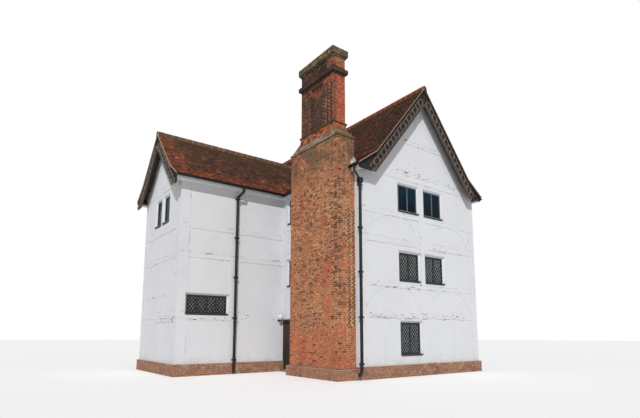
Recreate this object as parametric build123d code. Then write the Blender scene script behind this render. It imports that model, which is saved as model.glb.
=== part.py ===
"""Half timbered house: an L plan of two steep tiled ranges with an outside brick stack.

The main range runs front to back with its gable to the front (-Y). The wing leaves its
left side (-X). The house is drawn from the front left corner of the range at ground
level and moved at the end, so that the origin is the middle of its box on the ground.
Every wall is drawn on its own outer face: x runs to the right as seen from outdoors,
y runs up, and depth is positive outdoors.
"""
import math
import os

from build123d import *

# Plan, outer faces of the walls; cuts run PAST a face
RANGE_W = 7400
WING_L = 5000
WING_Y = 5250
WING_W = 4800
WING_BACK = WING_Y + WING_W
RETURN_L = 700
RANGE_D = WING_BACK + RETURN_L
RANGE_HALF = RANGE_W / 2
WING_HALF = WING_W / 2
WALL = 200
PAST = 10
PLINTH_H = 470
PLINTH_OUT = 90
PLINTH_IN = 60

# Storeys: top of each floor and its thickness
GROUND_TOP = 100
FIRST_TOP = 3000
WING_FIRST_TOP = 3640
SECOND_TOP = 5930
FLOOR = 230

# Roofs, heights of the tiles' upper surface
RANGE_RIDGE = 12500
RANGE_KICK = 750
WING_RIDGE = 10820
WING_KICK = 450
EAVES_TOP = 8200
EAVES_OUT = 220
WING_EAVES_OUT = 360
KICK_PITCH = 0.711
ROOF = 140
TILE_EDGE = 45
VERGE_T = 70
VERGE_OUT = 420

# Ridge tiles
RIDGE_LEG = 140
RIDGE_T = 22
RIDGE_ROLL = 52

# Bargeboards, with a moulding along each edge and lozenges pierced between
BARGE_T = 40
BARGE_BACK = 40
BARGE_IN = VERGE_OUT - BARGE_BACK - BARGE_T
BARGE_DEPTH = 740
WING_BARGE_DEPTH = 660
BARGE_FOOT = EAVES_TOP - 210
WING_BARGE_FOOT = EAVES_TOP - 410
MOULD_TOP = 100
MOULD_LOW = 80
MOULD_OUT = 18
PIERCE_START = 420
PIERCE_END = 700
PIERCE_PITCH = 305
PIERCE_TALL = 110
PIERCE_WIDE = 44

# Eaves and rainwater goods
FASCIA_OUT = 190
WING_FASCIA_OUT = 330
FASCIA_T = 25
SOFFIT_T = 20
GUTTER_R = 75
GUTTER_T = 5
GUTTER_GAP = 5
PIPE_R = 58
PIPE_BEND = 90
PIPE_OFF = 160
PIPE_FOOT = 60
COLLAR_R = 72
COLLAR_H = 70
COLLAR_PITCH = 1850
COLLAR_LOW = 120
BRACKET = 34
NECK = 170
NECK_DROP = 150
NECK_FALL = 260
WING_PIPE_X = -WING_L / 2 - 20
BACK_PIPE_X = -WING_L + 200
RIGHT_PIPE_Y = RANGE_D - 200
HOPPER_X = 25
HOPPER_W = 200
HOPPER_D = 150
HOPPER_H = 190
FEED_R = 36
FEED_IN = 90
SHOE_Z = 330
SHOE_OUT = 180
SHOE_FALL = 150

# Windows
SPLAY = 70
SPLAY_DEPTH = 60
FRAME_DEPTH = 70
FRAME_BAR = 55
MULLION = 60
GLASS = 8
WINDOW_W = 1160
WINDOW_H = 1170
GROUND_WINDOW_H = 1310
SILL_UP = 740
FIRST_SILL_UP = 840
SECOND_SILL_UP = 830
POST_SIDE = 215
SIDE_WINDOW_IN = 430
SIDE_WINDOW_W = 1100
HALL_WINDOW_IN = 390
HALL_WINDOW_W = 1780
HALL_WINDOW_H = 800
HALL_SILL = 2480
WING_POST_SIDE = 160
GABLE_WINDOW_W = 710
GABLE_WINDOW_H = 1210
GABLE_SILL = 6560
SILL_OUT = 55
SILL_H = 40
SILL_HORN = 50
DRIP_H = 28
DRIP_OUT = 45
DRIP_OVER = 20

# Timbers in relief on the limewashed walls, rails as (top, height)
RELIEF = 12
POST_W = 400
CENTRE_POST_W = 440
KING_POST_W = 420
WING_POST_W = 300
STUD_W = 170
BRACE_IN = 200
BRACE_BOW = 0.16
THIN_RAIL = 180
WING_RAIL = 200
STOREY_RAILS = [(FIRST_TOP - 400, 280), (FIRST_TOP + 720, THIN_RAIL),
                (SECOND_TOP - 370, 260), (SECOND_TOP + 720, THIN_RAIL)]
GABLE_RAILS = [(EAVES_TOP + 220, 280), (RANGE_RIDGE - 2500, 170)]
WING_UPPER_RAIL = SECOND_TOP + 320
WING_LOWER_RAIL = WING_FIRST_TOP + 1380
WING_RAILS = [(FIRST_TOP - 400, 280), (WING_LOWER_RAIL, WING_RAIL), (WING_UPPER_RAIL, WING_RAIL),
              (EAVES_TOP + 60, 240), (WING_RIDGE - 1350, 160)]
FIRST_BRACES = (FIRST_TOP - 480, FIRST_TOP + 640)
SECOND_BRACES = (SECOND_TOP - 510, SECOND_TOP + 630)

# Doorway in the range's side wall, at the inner corner
DOOR_CORNER = 100
DOOR_W = 950
DOOR_HEAD = 2250
JAMB = 90
JAMB_DEPTH = 134
FRAME_SET = 20
STOP = 15
LEAF_T = 48
LEAF_GAP = 8
LEAF_PROUD = 6
DOOR_BOARDS = 5
BOARD_GROOVE = 5
LEDGE_T = 25
LEDGE_H = 120
LEDGE_UP = 180
LEDGE_IN = 60
STRAP_T = 6
STRAP_H = 45
STRAP_L = 700
STRAP_Z = 380
EYE_R = 15
PIN_R = 7
PIN_CLEAR = 0.4
PIN_BACK = 6
PIN_SEAT = 2
LUG_H = 14
RING_R = 38
RING_T = 6
RING_Z = 1000
RING_IN = 130
STEP_OUT = 150

# Wall lamp beside the door, its globe seated on the bracket; the seat is an angle
LAMP_Z = 2290
LAMP_IN = 230
LAMP_OUT = 170
LAMP_R = 130
LAMP_SEAT = 70
LAMP_PLATE_R = 45
LAMP_PLATE_T = 14
LAMP_ARM_R = 12
LAMP_GALLERY_R = 52
LAMP_GALLERY_H = 40

# Outside stack: string, weathering, base and ledge, shaft with dentils under its band, cap
STACK_OUT = 880
STACK_Y = 140
STACK_W = 3140
STACK_TOP = 9390
STACK_FOOT_OUT = 110
STACK_FOOT_H = 400
STRING_OUT = 40
STRING_H = 60
WEATHER_H = 360
BASE_OUT = 25
BASE_H = 180
SHELF_OUT = 60
SHELF_H = 50
SHAFT_OUT = 830
SHAFT_BACK = 230
SHAFT_Y = 400
SHAFT_W = 2200
SHAFT_H = 2110
RECESS_W = 830
RECESS_DEPTH = 110
DENTIL_W = 75
DENTIL_PITCH = 150
DENTIL_OUT = 60
DENTIL_H = 80
BAND_H = 170
NECK_H = 500
BAND_OUT = 95
CORBEL_H = 70
CORBEL_OUT = 50
CAP_H = 340
CAP_OUT = 100
FLUE = 230
FLUE_DEPTH = 150
WEATHER_TOP = STACK_TOP + WEATHER_H
SHAFT_BASE = WEATHER_TOP + BASE_H + SHELF_H
BAND_BASE = SHAFT_BASE + SHAFT_H
SHAFT_TOP = BAND_BASE + BAND_H + NECK_H
LEAD_T = 4
LEAD_H = 150

# Extent of the finished house, for the origin
LEFT_END = -WING_L - VERGE_OUT
RIGHT_END = RANGE_W + FASCIA_OUT + 2 * GUTTER_R
FRONT_END = -VERGE_OUT
BACK_END = RANGE_D + VERGE_OUT
ORIGIN = Pos(-(LEFT_END + RIGHT_END) / 2, -(FRONT_END + BACK_END) / 2, 0)


def put(name, *shapes):
    """Write one sub-part, moved to the part's own origin."""
    solids = [ORIGIN * solid for shape in shapes for solid in shape.solids()]
    whole = solids[0] if len(solids) == 1 else Compound(children=solids)
    export_step(whole, f"parts/{name}.step")


def block(x0, x1, y0, y1, z0, z1):
    """A plain box between two corners."""
    return Pos((x0 + x1) / 2, (y0 + y1) / 2, (z0 + z1) / 2) * Box(x1 - x0, y1 - y0, z1 - z0)


def outline(*points):
    """A flat face from corner points."""
    return make_face(Polyline(*points, close=True))


def rect(s0, s1, z0, z1):
    """An upright rectangle on a wall's face."""
    return Pos((s0 + s1) / 2, (z0 + z1) / 2) * Rectangle(s1 - s0, z1 - z0)


def layer(face, sketch, back, front):
    """The sketch on a wall's face, from one depth to another."""
    return extrude(face.offset(back) * sketch, amount=front - back)


# Outer faces of the walls
FRONT = Plane(origin=(0, 0, 0), x_dir=(1, 0, 0), z_dir=(0, -1, 0))
RIGHT = Plane(origin=(RANGE_W, 0, 0), x_dir=(0, 1, 0), z_dir=(1, 0, 0))
BACK = Plane(origin=(RANGE_W, RANGE_D, 0), x_dir=(-1, 0, 0), z_dir=(0, 1, 0))
SIDE = Plane(origin=(0, WING_Y, 0), x_dir=(0, -1, 0), z_dir=(-1, 0, 0))
WING_FRONT = Plane(origin=(-WING_L, WING_Y, 0), x_dir=(1, 0, 0), z_dir=(0, -1, 0))
WING_GABLE = Plane(origin=(-WING_L, WING_BACK, 0), x_dir=(0, -1, 0), z_dir=(-1, 0, 0))
WING_REAR = Plane(origin=(0, WING_BACK, 0), x_dir=(-1, 0, 0), z_dir=(0, 1, 0))


class Roof:
    """A gabled roof's section: distance from the ridge line against height."""

    def __init__(self, half, ridge, kick, eaves_out, fascia_out):
        self.half = half
        self.ridge = ridge
        self.kick = half - kick
        self.edge = half + eaves_out
        self.fascia = half + fascia_out
        self.kick_z = EAVES_TOP + (self.edge - self.kick) * KICK_PITCH
        self.pitch = (ridge - self.kick_z) / self.kick

    def top(self, h):
        if h < self.kick:
            return self.ridge - h * self.pitch
        return EAVES_TOP + (self.edge - h) * KICK_PITCH

    def under(self, h):
        if h <= self.half:
            return self.top(h) - ROOF
        wall_z = self.top(self.half) - ROOF
        return wall_z + (EAVES_TOP - TILE_EDGE - wall_z) * (h - self.half) / (self.edge - self.half)

    def verge_under(self, h):
        """Underside of the thin edge of tiles over the bargeboards."""
        beyond = max(0, h - self.kick) / (self.edge - self.kick)
        return self.top(h) - VERGE_T + (VERGE_T - TILE_EDGE) * beyond

    def verge(self, side):
        """Section of that thin edge on one slope."""
        points = [
            (0, self.ridge), (self.kick, self.kick_z), (self.edge, EAVES_TOP),
            (self.edge, self.verge_under(self.edge)), (self.kick, self.verge_under(self.kick)),
            (0, self.ridge - VERGE_T),
        ]
        return [(side * h, z) for h, z in points]

    def barge_line(self, drop, h=0):
        """A line below a bargeboard's upper edge, straight on past the kick."""
        return self.ridge - VERGE_T - drop - h * self.pitch

    def barge_foot(self, drop, foot):
        """Distance from the ridge where such a line reaches the foot."""
        return self.barge_line(drop + foot) / self.pitch

    def strip(self, side, high, low, foot):
        """Part of a bargeboard between two such lines, level at its foot, upright at the fascia."""
        points = [(0, self.barge_line(high)), (self.edge, self.barge_line(high, self.edge)),
                  (self.edge, self.barge_line(low, self.edge)), (0, self.barge_line(low))]
        band = outline(*[(side * h, z) for h, z in points])
        return band & rect(-self.fascia, self.fascia, foot, self.ridge)

    def slope(self, side):
        """Section of one slope; side is -1 or 1."""
        points = [
            (0, self.ridge), (self.kick, self.kick_z), (self.edge, EAVES_TOP),
            (self.edge, EAVES_TOP - TILE_EDGE), (self.half, self.under(self.half)),
            (self.kick, self.kick_z - ROOF), (0, self.ridge - ROOF),
        ]
        return [(side * h, z) for h, z in points]

    def gable(self, base):
        """Outline of a gable wall under the roof, from its left corner."""
        w = self.half
        return [
            (0, base), (2 * w, base), (2 * w, self.under(w)), (w + self.kick, self.kick_z - ROOF),
            (w, self.ridge - ROOF), (w - self.kick, self.kick_z - ROOF), (0, self.under(w)),
        ]


RANGE_ROOF = Roof(RANGE_HALF, RANGE_RIDGE, RANGE_KICK, EAVES_OUT, FASCIA_OUT)
WING_ROOF = Roof(WING_HALF, WING_RIDGE, WING_KICK, WING_EAVES_OUT, WING_FASCIA_OUT)
RIDGE_Y = WING_Y + WING_HALF


def range_section(points):
    """A section across the range as a face on the plane y = 0."""
    return outline(*[(RANGE_HALF + h, 0, z) for h, z in points])


def wing_section(points):
    """A section across the wing as a face on the plane x = 0."""
    return outline(*[(0, RIDGE_Y + h, z) for h, z in points])


def run_y(face, y0, y1):
    return extrude(Pos(0, y0, 0) * face, amount=y1 - y0, dir=(0, 1, 0))


def run_x(face, x0, x1):
    return extrude(Pos(x0, 0, 0) * face, amount=x1 - x0, dir=(1, 0, 0))


class Window:
    """A window on a wall's face: its opening and its number of lights."""

    def __init__(self, left, width, sill, height, lights=2):
        self.left = left
        self.right = left + width
        self.sill = sill
        self.head = sill + height
        self.lights = lights

    def opening(self):
        return rect(self.left, self.right, self.sill, self.head)

    def splay(self):
        """The opening at the wall's face, where its reveals flare out."""
        low = self.sill - SPLAY / 2
        return rect(self.left - SPLAY, self.right + SPLAY, low, self.head + SPLAY)


def pair_by_post(mid, sill, height):
    """Two windows either side of a centre post."""
    return [Window(mid - POST_SIDE - WINDOW_W, WINDOW_W, sill, height),
            Window(mid + POST_SIDE, WINDOW_W, sill, height)]


GROUND_SILL = GROUND_TOP + SILL_UP
FIRST_SILL = FIRST_TOP + FIRST_SILL_UP
SECOND_SILL = SECOND_TOP + SECOND_SILL_UP
FRONT_WINDOWS = [
    Window(RANGE_HALF - POST_SIDE - WINDOW_W, WINDOW_W, GROUND_SILL, GROUND_WINDOW_H),
    *pair_by_post(RANGE_HALF, FIRST_SILL, WINDOW_H),
    *pair_by_post(RANGE_HALF, SECOND_SILL, WINDOW_H),
]
BACK_WINDOWS = FRONT_WINDOWS
SIDE_WINDOWS = [Window(SIDE_WINDOW_IN, SIDE_WINDOW_W, FIRST_SILL, WINDOW_H),
                Window(SIDE_WINDOW_IN, SIDE_WINDOW_W, SECOND_SILL, WINDOW_H)]
WING_FRONT_WINDOWS = [Window(HALL_WINDOW_IN, HALL_WINDOW_W, HALL_SILL, HALL_WINDOW_H, lights=4)]
WING_GABLE_WINDOWS = [
    Window(left, GABLE_WINDOW_W, GABLE_SILL, GABLE_WINDOW_H, lights=1)
    for left in (WING_HALF - WING_POST_SIDE - GABLE_WINDOW_W, WING_HALF + WING_POST_SIDE)
]
STOREY_WINDOWS = [(GROUND_SILL, GROUND_WINDOW_H), (FIRST_SILL, WINDOW_H), (SECOND_SILL, WINDOW_H)]
RIGHT_WINDOWS = [
    Window(middle - WINDOW_W / 2, WINDOW_W, sill, height)
    for sill, height in STOREY_WINDOWS
    for middle in (RANGE_D * 0.24, RANGE_D * 0.724)
]
WING_REAR_WINDOWS = [
    Window(WING_L / 2 - WINDOW_W / 2, WINDOW_W, sill, height)
    for sill, height in ((GROUND_SILL, GROUND_WINDOW_H), (WING_FIRST_TOP + SILL_UP, WINDOW_H),
                         (SECOND_SILL, WINDOW_H))
]


def window_hole(face, window):
    """The cut through a wall, splayed outdoors."""
    hole = layer(face, window.opening(), -WALL - PAST, PAST)
    return hole + loft([face * window.splay(), face.offset(-SPLAY_DEPTH) * window.opening()])


def window_lights(window):
    """The glazed rectangles between a window's frame bars and mullions."""
    bars = 2 * FRAME_BAR + (window.lights - 1) * MULLION
    clear = (window.right - window.left - bars) / window.lights
    starts = [window.left + FRAME_BAR + i * (clear + MULLION) for i in range(window.lights)]
    return [(s, s + clear, window.sill + FRAME_BAR, window.head - FRAME_BAR) for s in starts]


def window_frame(face, window):
    """Frame with mullions and its sill board, which has a horn each side on the wall's face."""
    sketch = window.opening()
    for light in window_lights(window):
        sketch -= rect(*light)
    frame = layer(face, sketch, -SPLAY_DEPTH - FRAME_DEPTH, -SPLAY_DEPTH)
    board = rect(window.left, window.right, window.sill, window.sill + SILL_H)
    horns = rect(window.left - SILL_HORN, window.right + SILL_HORN, window.sill, window.sill + SILL_H)
    return frame + layer(face, board, -SPLAY_DEPTH, SILL_OUT) + layer(face, horns, 0, SILL_OUT)


def window_glass(face, window):
    """One sheet of glass in each light, let into the frame."""
    middle = -SPLAY_DEPTH - FRAME_DEPTH / 2
    return [layer(face, rect(*light), middle - GLASS / 2, middle + GLASS / 2)
            for light in window_lights(window)]


def wall(face, shape, windows=()):
    """A wall's slab with its windows cut through."""
    solid = layer(face, shape, -WALL, 0)
    for window in windows:
        solid -= window_hole(face, window)
    return solid


def post(s, width, z0, z1):
    return rect(s - width / 2, s + width / 2, z0, z1)


def rail(s0, s1, top, height):
    return rect(s0, s1, top - height, top)


def brace(foot, head, width=STUD_W, bow=BRACE_BOW):
    """A curved brace between two points, bowed up and outwards from its chord."""
    a = Vector(*foot)
    b = Vector(*head)
    chord = b - a
    side = Vector(-chord.Y, chord.X)
    if side.Y < 0:
        side = side * -1
    return SlotArc(ThreePointArc(a, (a + b) / 2 + side * bow, b), width)


def timbers(face, members, shape, windows=()):
    """Frame members in low relief on a wall, and drip boards over the windows below the top storey."""
    sketch = Sketch() + members
    sketch = sketch & shape
    for window in windows:
        sketch -= window.splay()
    relief = layer(face, sketch, 0, RELIEF)
    for window in windows:
        if window.head < SECOND_TOP:
            reach = SPLAY + DRIP_OVER
            base = window.head + SPLAY
            drip = rect(window.left - reach, window.right + reach, base, base + DRIP_H)
            relief += layer(face, drip, 0, DRIP_OUT)
    return relief


def gable_members(width, roof, posts, z_base):
    """Posts, rails, collar and king post shared by the range's gables."""
    members = [post(s, w, z_base, roof.under(0)) for s, w in posts]
    members += [rail(0, width, top, height) for top, height in STOREY_RAILS + GABLE_RAILS]
    members.append(post(width / 2, KING_POST_W, BARGE_FOOT, roof.ridge))
    return members


def storey(main_top, wing_top, thickness, inset=0):
    """Floor of the range and of the wing, between the walls."""
    edge = WALL + inset
    main = block(edge, RANGE_W - edge, edge, RANGE_D - edge, main_top - thickness, main_top)
    arm = block(-WING_L + edge, edge, WING_Y + edge, WING_BACK - edge, wing_top - thickness, wing_top)
    return main, arm


def build_floors():
    main, arm = storey(GROUND_TOP, GROUND_TOP, GROUND_TOP, PLINTH_IN)
    put("ground_floor", main + arm)
    put("first_floor", *storey(FIRST_TOP, WING_FIRST_TOP, FLOOR))
    main, arm = storey(SECOND_TOP, SECOND_TOP, FLOOR)
    put("second_floor", main + arm)


def door_span():
    """The doorway's near and far edges along the house."""
    far = WING_Y - DOOR_CORNER
    return far - DOOR_W, far


def build_plinth():
    near, _ = door_span()
    out, inner = PLINTH_OUT, WALL + PLINTH_IN
    low, high = -PAST, PLINTH_H + PAST
    plinth = block(-out, RANGE_W + out, -out, RANGE_D + out, 0, PLINTH_H)
    plinth += block(-WING_L - out, 0, WING_Y - out, WING_BACK + out, 0, PLINTH_H)
    plinth -= block(inner, RANGE_W - inner, inner, RANGE_D - inner, low, high)
    plinth -= block(-WING_L + inner, inner, WING_Y + inner, WING_BACK - inner, low, high)
    plinth -= block(-out - PAST, inner + PAST, near - JAMB, WING_Y - out, low, high)
    plinth -= block(0, inner + PAST, near - JAMB, WING_Y, low, high)
    foot = STACK_FOOT_OUT
    plinth -= block(-STACK_OUT, 0, STACK_Y - foot, STACK_Y + STACK_W + foot, low, high)
    put("brick_plinth", plinth)
    step = block(0, inner, near - JAMB, WING_Y, 0, GROUND_TOP)
    step += block(-STEP_OUT, 0, near - JAMB, WING_Y - out, 0, GROUND_TOP)
    put("door_step", step)


def eaves_wall_section(roof):
    """Section of a wall under the eaves: (distance in from its outer face, height)."""
    return [(0, PLINTH_H), (0, roof.under(roof.half)), (WALL, roof.under(roof.half - WALL)),
            (WALL, PLINTH_H)]


def build_walls():
    gable = outline(*RANGE_ROOF.gable(PLINTH_H))
    put("range_front_wall", wall(FRONT, gable, FRONT_WINDOWS))
    put("range_back_wall", wall(BACK, gable, BACK_WINDOWS))
    section = eaves_wall_section(RANGE_ROOF)
    right = run_y(outline(*[(RANGE_W - d, 0, z) for d, z in section]), WALL, RANGE_D - WALL)
    for window in RIGHT_WINDOWS:
        right -= window_hole(RIGHT, window)
    put("range_right_wall", right)

    near, far = door_span()
    side = run_y(outline(*[(d, 0, z) for d, z in section]), WALL, WING_Y)
    for window in SIDE_WINDOWS:
        side -= window_hole(SIDE, window)
    beside = side & block(-PAST, WALL + PAST, 0, near - JAMB, 0, RANGE_RIDGE)
    over = side & block(-PAST, WALL + PAST, near - JAMB, WING_Y, DOOR_HEAD + JAMB, RANGE_RIDGE)
    put("side_wall_beside_door", beside)
    put("side_wall_over_door", over)
    put("return_wall", run_y(outline(*[(d, 0, z) for d, z in section]), WING_BACK, RANGE_D - WALL))

    section = eaves_wall_section(WING_ROOF)
    front = run_x(outline(*[(0, WING_Y + d, z) for d, z in section]), -WING_L + WALL, 0)
    corner = run_x(outline(*[(0, WING_Y + d, z) for d, z in section]), 0, WALL)
    front += corner & block(0, WALL, WING_Y, WING_Y + WALL, PLINTH_H, RANGE_ROOF.under(RANGE_HALF))
    for window in WING_FRONT_WINDOWS:
        front -= window_hole(WING_FRONT, window)
    put("wing_front_wall", front)
    rear = run_x(outline(*[(0, WING_BACK - d, z) for d, z in section]), -WING_L + WALL, 0)
    corner = run_x(outline(*[(0, WING_BACK - d, z) for d, z in section]), 0, WALL)
    rear += corner & block(0, WALL, WING_BACK - WALL, WING_BACK, PLINTH_H, RANGE_ROOF.under(RANGE_HALF))
    for window in WING_REAR_WINDOWS:
        rear -= window_hole(WING_REAR, window)
    put("wing_back_wall", rear)
    gable = outline(*WING_ROOF.gable(PLINTH_H))
    put("wing_gable_wall", wall(WING_GABLE, gable, WING_GABLE_WINDOWS))


def build_windows():
    groups = {
        "front": [(FRONT, FRONT_WINDOWS)],
        "courtyard": [(SIDE, SIDE_WINDOWS), (WING_FRONT, WING_FRONT_WINDOWS)],
        "wing_gable": [(WING_GABLE, WING_GABLE_WINDOWS)],
        "right": [(RIGHT, RIGHT_WINDOWS)],
        "back": [(BACK, BACK_WINDOWS), (WING_REAR, WING_REAR_WINDOWS)],
    }
    for name, faces in groups.items():
        frames = [window_frame(face, w) for face, windows in faces for w in windows]
        panes = [pane for face, windows in faces for w in windows for pane in window_glass(face, w)]
        put(f"{name}_window_frames", *frames)
        put(f"{name}_window_glass", *panes)


def eaves_members(width, posts):
    """Posts and rails of a wall under the eaves."""
    members = [post(s, w, PLINTH_H, BARGE_FOOT) for s, w in posts]
    return members + [rail(0, width, top, height) for top, height in STOREY_RAILS]


def braces(pairs, low, high):
    """Curved braces, each from its foot at a post up to the rail over it."""
    return [brace((foot, low), (head, high)) for foot, head in pairs]


def build_timbers():
    near, far = door_span()
    gable = outline(*RANGE_ROOF.gable(PLINTH_H))
    corner = POST_W / 2
    posts = [(corner, POST_W), (RANGE_HALF, CENTRE_POST_W), (RANGE_W - corner, POST_W)]
    reach = RANGE_HALF - POST_W
    arches = [(POST_W, POST_W + reach * 0.4), (RANGE_HALF - BRACE_IN, RANGE_HALF - reach * 0.35),
              (RANGE_HALF + BRACE_IN, RANGE_HALF + reach * 0.48),
              (RANGE_W - POST_W, RANGE_W - POST_W - reach * 0.42)]
    members = gable_members(RANGE_W, RANGE_ROOF, posts, PLINTH_H)
    members += braces(arches, *SECOND_BRACES) + braces(arches, *FIRST_BRACES)
    studs = [post(s, STUD_W, PLINTH_H, STOREY_RAILS[0][0]) for s in (RANGE_W * 0.19, RANGE_W * 0.773)]
    put("front_timbers", timbers(FRONT, members + studs, gable, FRONT_WINDOWS))

    posts = [(WING_L - corner, POST_W), (WING_L * 0.28, STUD_W), (WING_L * 0.72, STUD_W)]
    rear = eaves_members(WING_L, posts)
    rear += braces([(WING_L - POST_W, WING_L * 0.74)], *SECOND_BRACES)
    put("back_timbers", timbers(BACK, members, gable, BACK_WINDOWS),
        timbers(WING_REAR, rear, rect(0, WING_L, PLINTH_H, BARGE_FOOT), WING_REAR_WINDOWS))

    posts = [(corner, POST_W), (RANGE_D - corner, POST_W)]
    bay = RANGE_D / 6
    posts += [(i * bay, STUD_W) for i in range(1, 6)]
    members = eaves_members(RANGE_D, posts)
    arches = [(POST_W, bay), (3 * bay, 2 * bay), (3 * bay, 4 * bay), (RANGE_D - POST_W, 5 * bay)]
    members += braces(arches, *SECOND_BRACES) + braces(arches, *FIRST_BRACES)
    put("right_timbers", timbers(RIGHT, members, rect(0, RANGE_D, PLINTH_H, BARGE_FOOT), RIGHT_WINDOWS))

    front = [post(corner, POST_W, PLINTH_H, BARGE_FOOT)]
    front += [rail(0, WING_L, top, WING_RAIL) for top in (WING_LOWER_RAIL, WING_UPPER_RAIL)]
    jamb = HALL_WINDOW_IN + HALL_WINDOW_W + SPLAY
    hall_rail = HALL_SILL - SPLAY / 2
    front.append(rail(0, jamb + STUD_W, hall_rail, WING_RAIL))
    front.append(rect(jamb, jamb + STUD_W, hall_rail - WING_RAIL, WING_LOWER_RAIL))
    side_end = WING_Y - STACK_Y - STACK_W
    side = [rail(0, side_end, top, WING_RAIL) for top, _ in (STOREY_RAILS[0], *STOREY_RAILS[2:])]
    side += [post(s, STUD_W, DOOR_HEAD, BARGE_FOOT) for s in (STUD_W * 1.5, side_end - STUD_W)]
    door = rect(WING_Y - far - DOOR_CORNER, WING_Y - near + JAMB, 0, DOOR_HEAD + JAMB)
    shape = rect(RELIEF, side_end, PLINTH_H, BARGE_FOOT) - door
    put("courtyard_timbers",
        timbers(WING_FRONT, front, rect(0, WING_L, PLINTH_H, BARGE_FOOT), WING_FRONT_WINDOWS),
        timbers(SIDE, side, shape, SIDE_WINDOWS))

    gable = outline(*WING_ROOF.gable(PLINTH_H))
    members = [post(s, POST_W, PLINTH_H, WING_ROOF.kick_z) for s in (corner, WING_W - corner)]
    members += [rail(0, WING_W, top, height) for top, height in WING_RAILS]
    members.append(post(WING_HALF, WING_POST_W, PLINTH_H, WING_RIDGE))
    arches = [(POST_W, WING_W * 0.31), (WING_W - POST_W, WING_W * 0.69)]
    members += braces(arches, WING_LOWER_RAIL - WING_RAIL / 2, WING_UPPER_RAIL - WING_RAIL / 2)
    members += braces(arches, WING_FIRST_TOP + WING_RAIL / 2, WING_LOWER_RAIL - WING_RAIL / 2)
    put("wing_gable_timbers", timbers(WING_GABLE, members, gable, WING_GABLE_WINDOWS))


def range_slope(side):
    """Boarded slope between the bargeboards, and its thin tile edge out to the verges."""
    slope = run_y(range_section(RANGE_ROOF.slope(side)), -BARGE_IN, RANGE_D + BARGE_IN)
    return slope + run_y(range_section(RANGE_ROOF.verge(side)), FRONT_END, BACK_END)


def range_left_slope():
    """The left slope, open over the wing's walls and cut out round the stack."""
    left = range_slope(-1)
    left -= block(-EAVES_OUT - PAST, 0, WING_Y, WING_BACK, 0, RANGE_RIDGE)
    return left - block(-EAVES_OUT - PAST, 0, STACK_Y, STACK_Y + STACK_W, 0, RANGE_RIDGE)


def under_left_slope():
    """Everything below the left slope's tiles, which the wing's roof stops on."""
    top = RANGE_ROOF.slope(-1)[:3]
    return run_y(range_section(top + [(top[2][0], 0), (0, 0)]), FRONT_END, BACK_END)


def wing_slope(side):
    slope = run_x(wing_section(WING_ROOF.slope(side)), -WING_L - BARGE_IN, RANGE_HALF)
    slope += run_x(wing_section(WING_ROOF.verge(side)), LEFT_END, RANGE_HALF)
    return slope - under_left_slope()


def ridge_section(roof):
    """A roll topped ridge tile astride the apex, as (distance, height) faces joined."""
    leg, lift = RIDGE_LEG, RIDGE_T
    drop = leg * roof.pitch
    cover = outline((-leg, roof.ridge - drop + lift), (0, roof.ridge + 1.4 * lift),
                    (leg, roof.ridge - drop + lift), (leg, roof.ridge - drop),
                    (0, roof.ridge), (-leg, roof.ridge - drop))
    roll = Pos(0, roof.ridge + RIDGE_ROLL) * Circle(RIDGE_ROLL)
    below = outline((0, roof.ridge), (-leg, roof.ridge - drop), (leg, roof.ridge - drop))
    return (cover + roll) - below


def build_roof():
    put("range_roof_left", range_left_slope())
    put("range_roof_right", range_slope(1))
    put("wing_roof_front", wing_slope(-1))
    put("wing_roof_back", wing_slope(1))
    along_range = Plane(origin=(RANGE_HALF, FRONT_END, 0), x_dir=(1, 0, 0), z_dir=(0, -1, 0))
    ridge = extrude(along_range * ridge_section(RANGE_ROOF), amount=FRONT_END - BACK_END)
    put("range_ridge_tiles", ridge)
    along_wing = Plane(origin=(LEFT_END, RIDGE_Y, 0), x_dir=(0, -1, 0), z_dir=(-1, 0, 0))
    wing = extrude(along_wing * ridge_section(WING_ROOF), amount=-(RANGE_HALF - LEFT_END))
    put("wing_ridge_tiles", wing - under_left_slope())


def lozenges(roof, side, depth, foot):
    """Diamond piercings along a bargeboard's middle line, square to its slope."""
    slant = math.hypot(1, roof.pitch)
    along = Vector(1 / slant, -roof.pitch / slant)
    across = Vector(-along.Y, along.X)
    length = roof.barge_foot(depth / 2, foot) * slant
    count = int((length - PIERCE_START - PIERCE_END) / PIERCE_PITCH) + 1
    shapes = []
    for i in range(count):
        middle = Vector(0, roof.barge_line(depth / 2)) + along * (PIERCE_START + i * PIERCE_PITCH)
        corners = [middle + along * PIERCE_WIDE / 2, middle + across * PIERCE_TALL / 2,
                   middle - along * PIERCE_WIDE / 2, middle - across * PIERCE_TALL / 2]
        shapes.append(outline(*[(side * c.X, c.Y) for c in corners]))
    return shapes


def bargeboard(face, roof, side, depth, foot):
    """One pierced bargeboard with moulded edges, and the filler board under the kicked eaves."""
    reach = roof.fascia
    filler = [
        (roof.kick, roof.verge_under(roof.kick)), (reach, roof.verge_under(reach)),
        (reach, foot), (roof.barge_foot(depth, foot), foot),
    ]
    filler = outline(*[(side * h, z) for h, z in filler])
    board = roof.strip(side, 0, depth, foot) - lozenges(roof, side, depth, foot)
    front = BARGE_IN + BARGE_T
    layers = [
        (board, BARGE_IN, front),
        (filler, BARGE_IN, front - BARGE_T / 2),
        (roof.strip(side, 0, MOULD_TOP, foot), front, front + MOULD_OUT),
        (roof.strip(side, depth - MOULD_LOW, depth, foot), front, front + MOULD_OUT),
    ]
    whole = None
    for sketch, back, proud in layers:
        solid = layer(face, Pos(roof.half, 0) * sketch, back, proud)
        whole = solid if whole is None else whole + solid
    return whole


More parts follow.
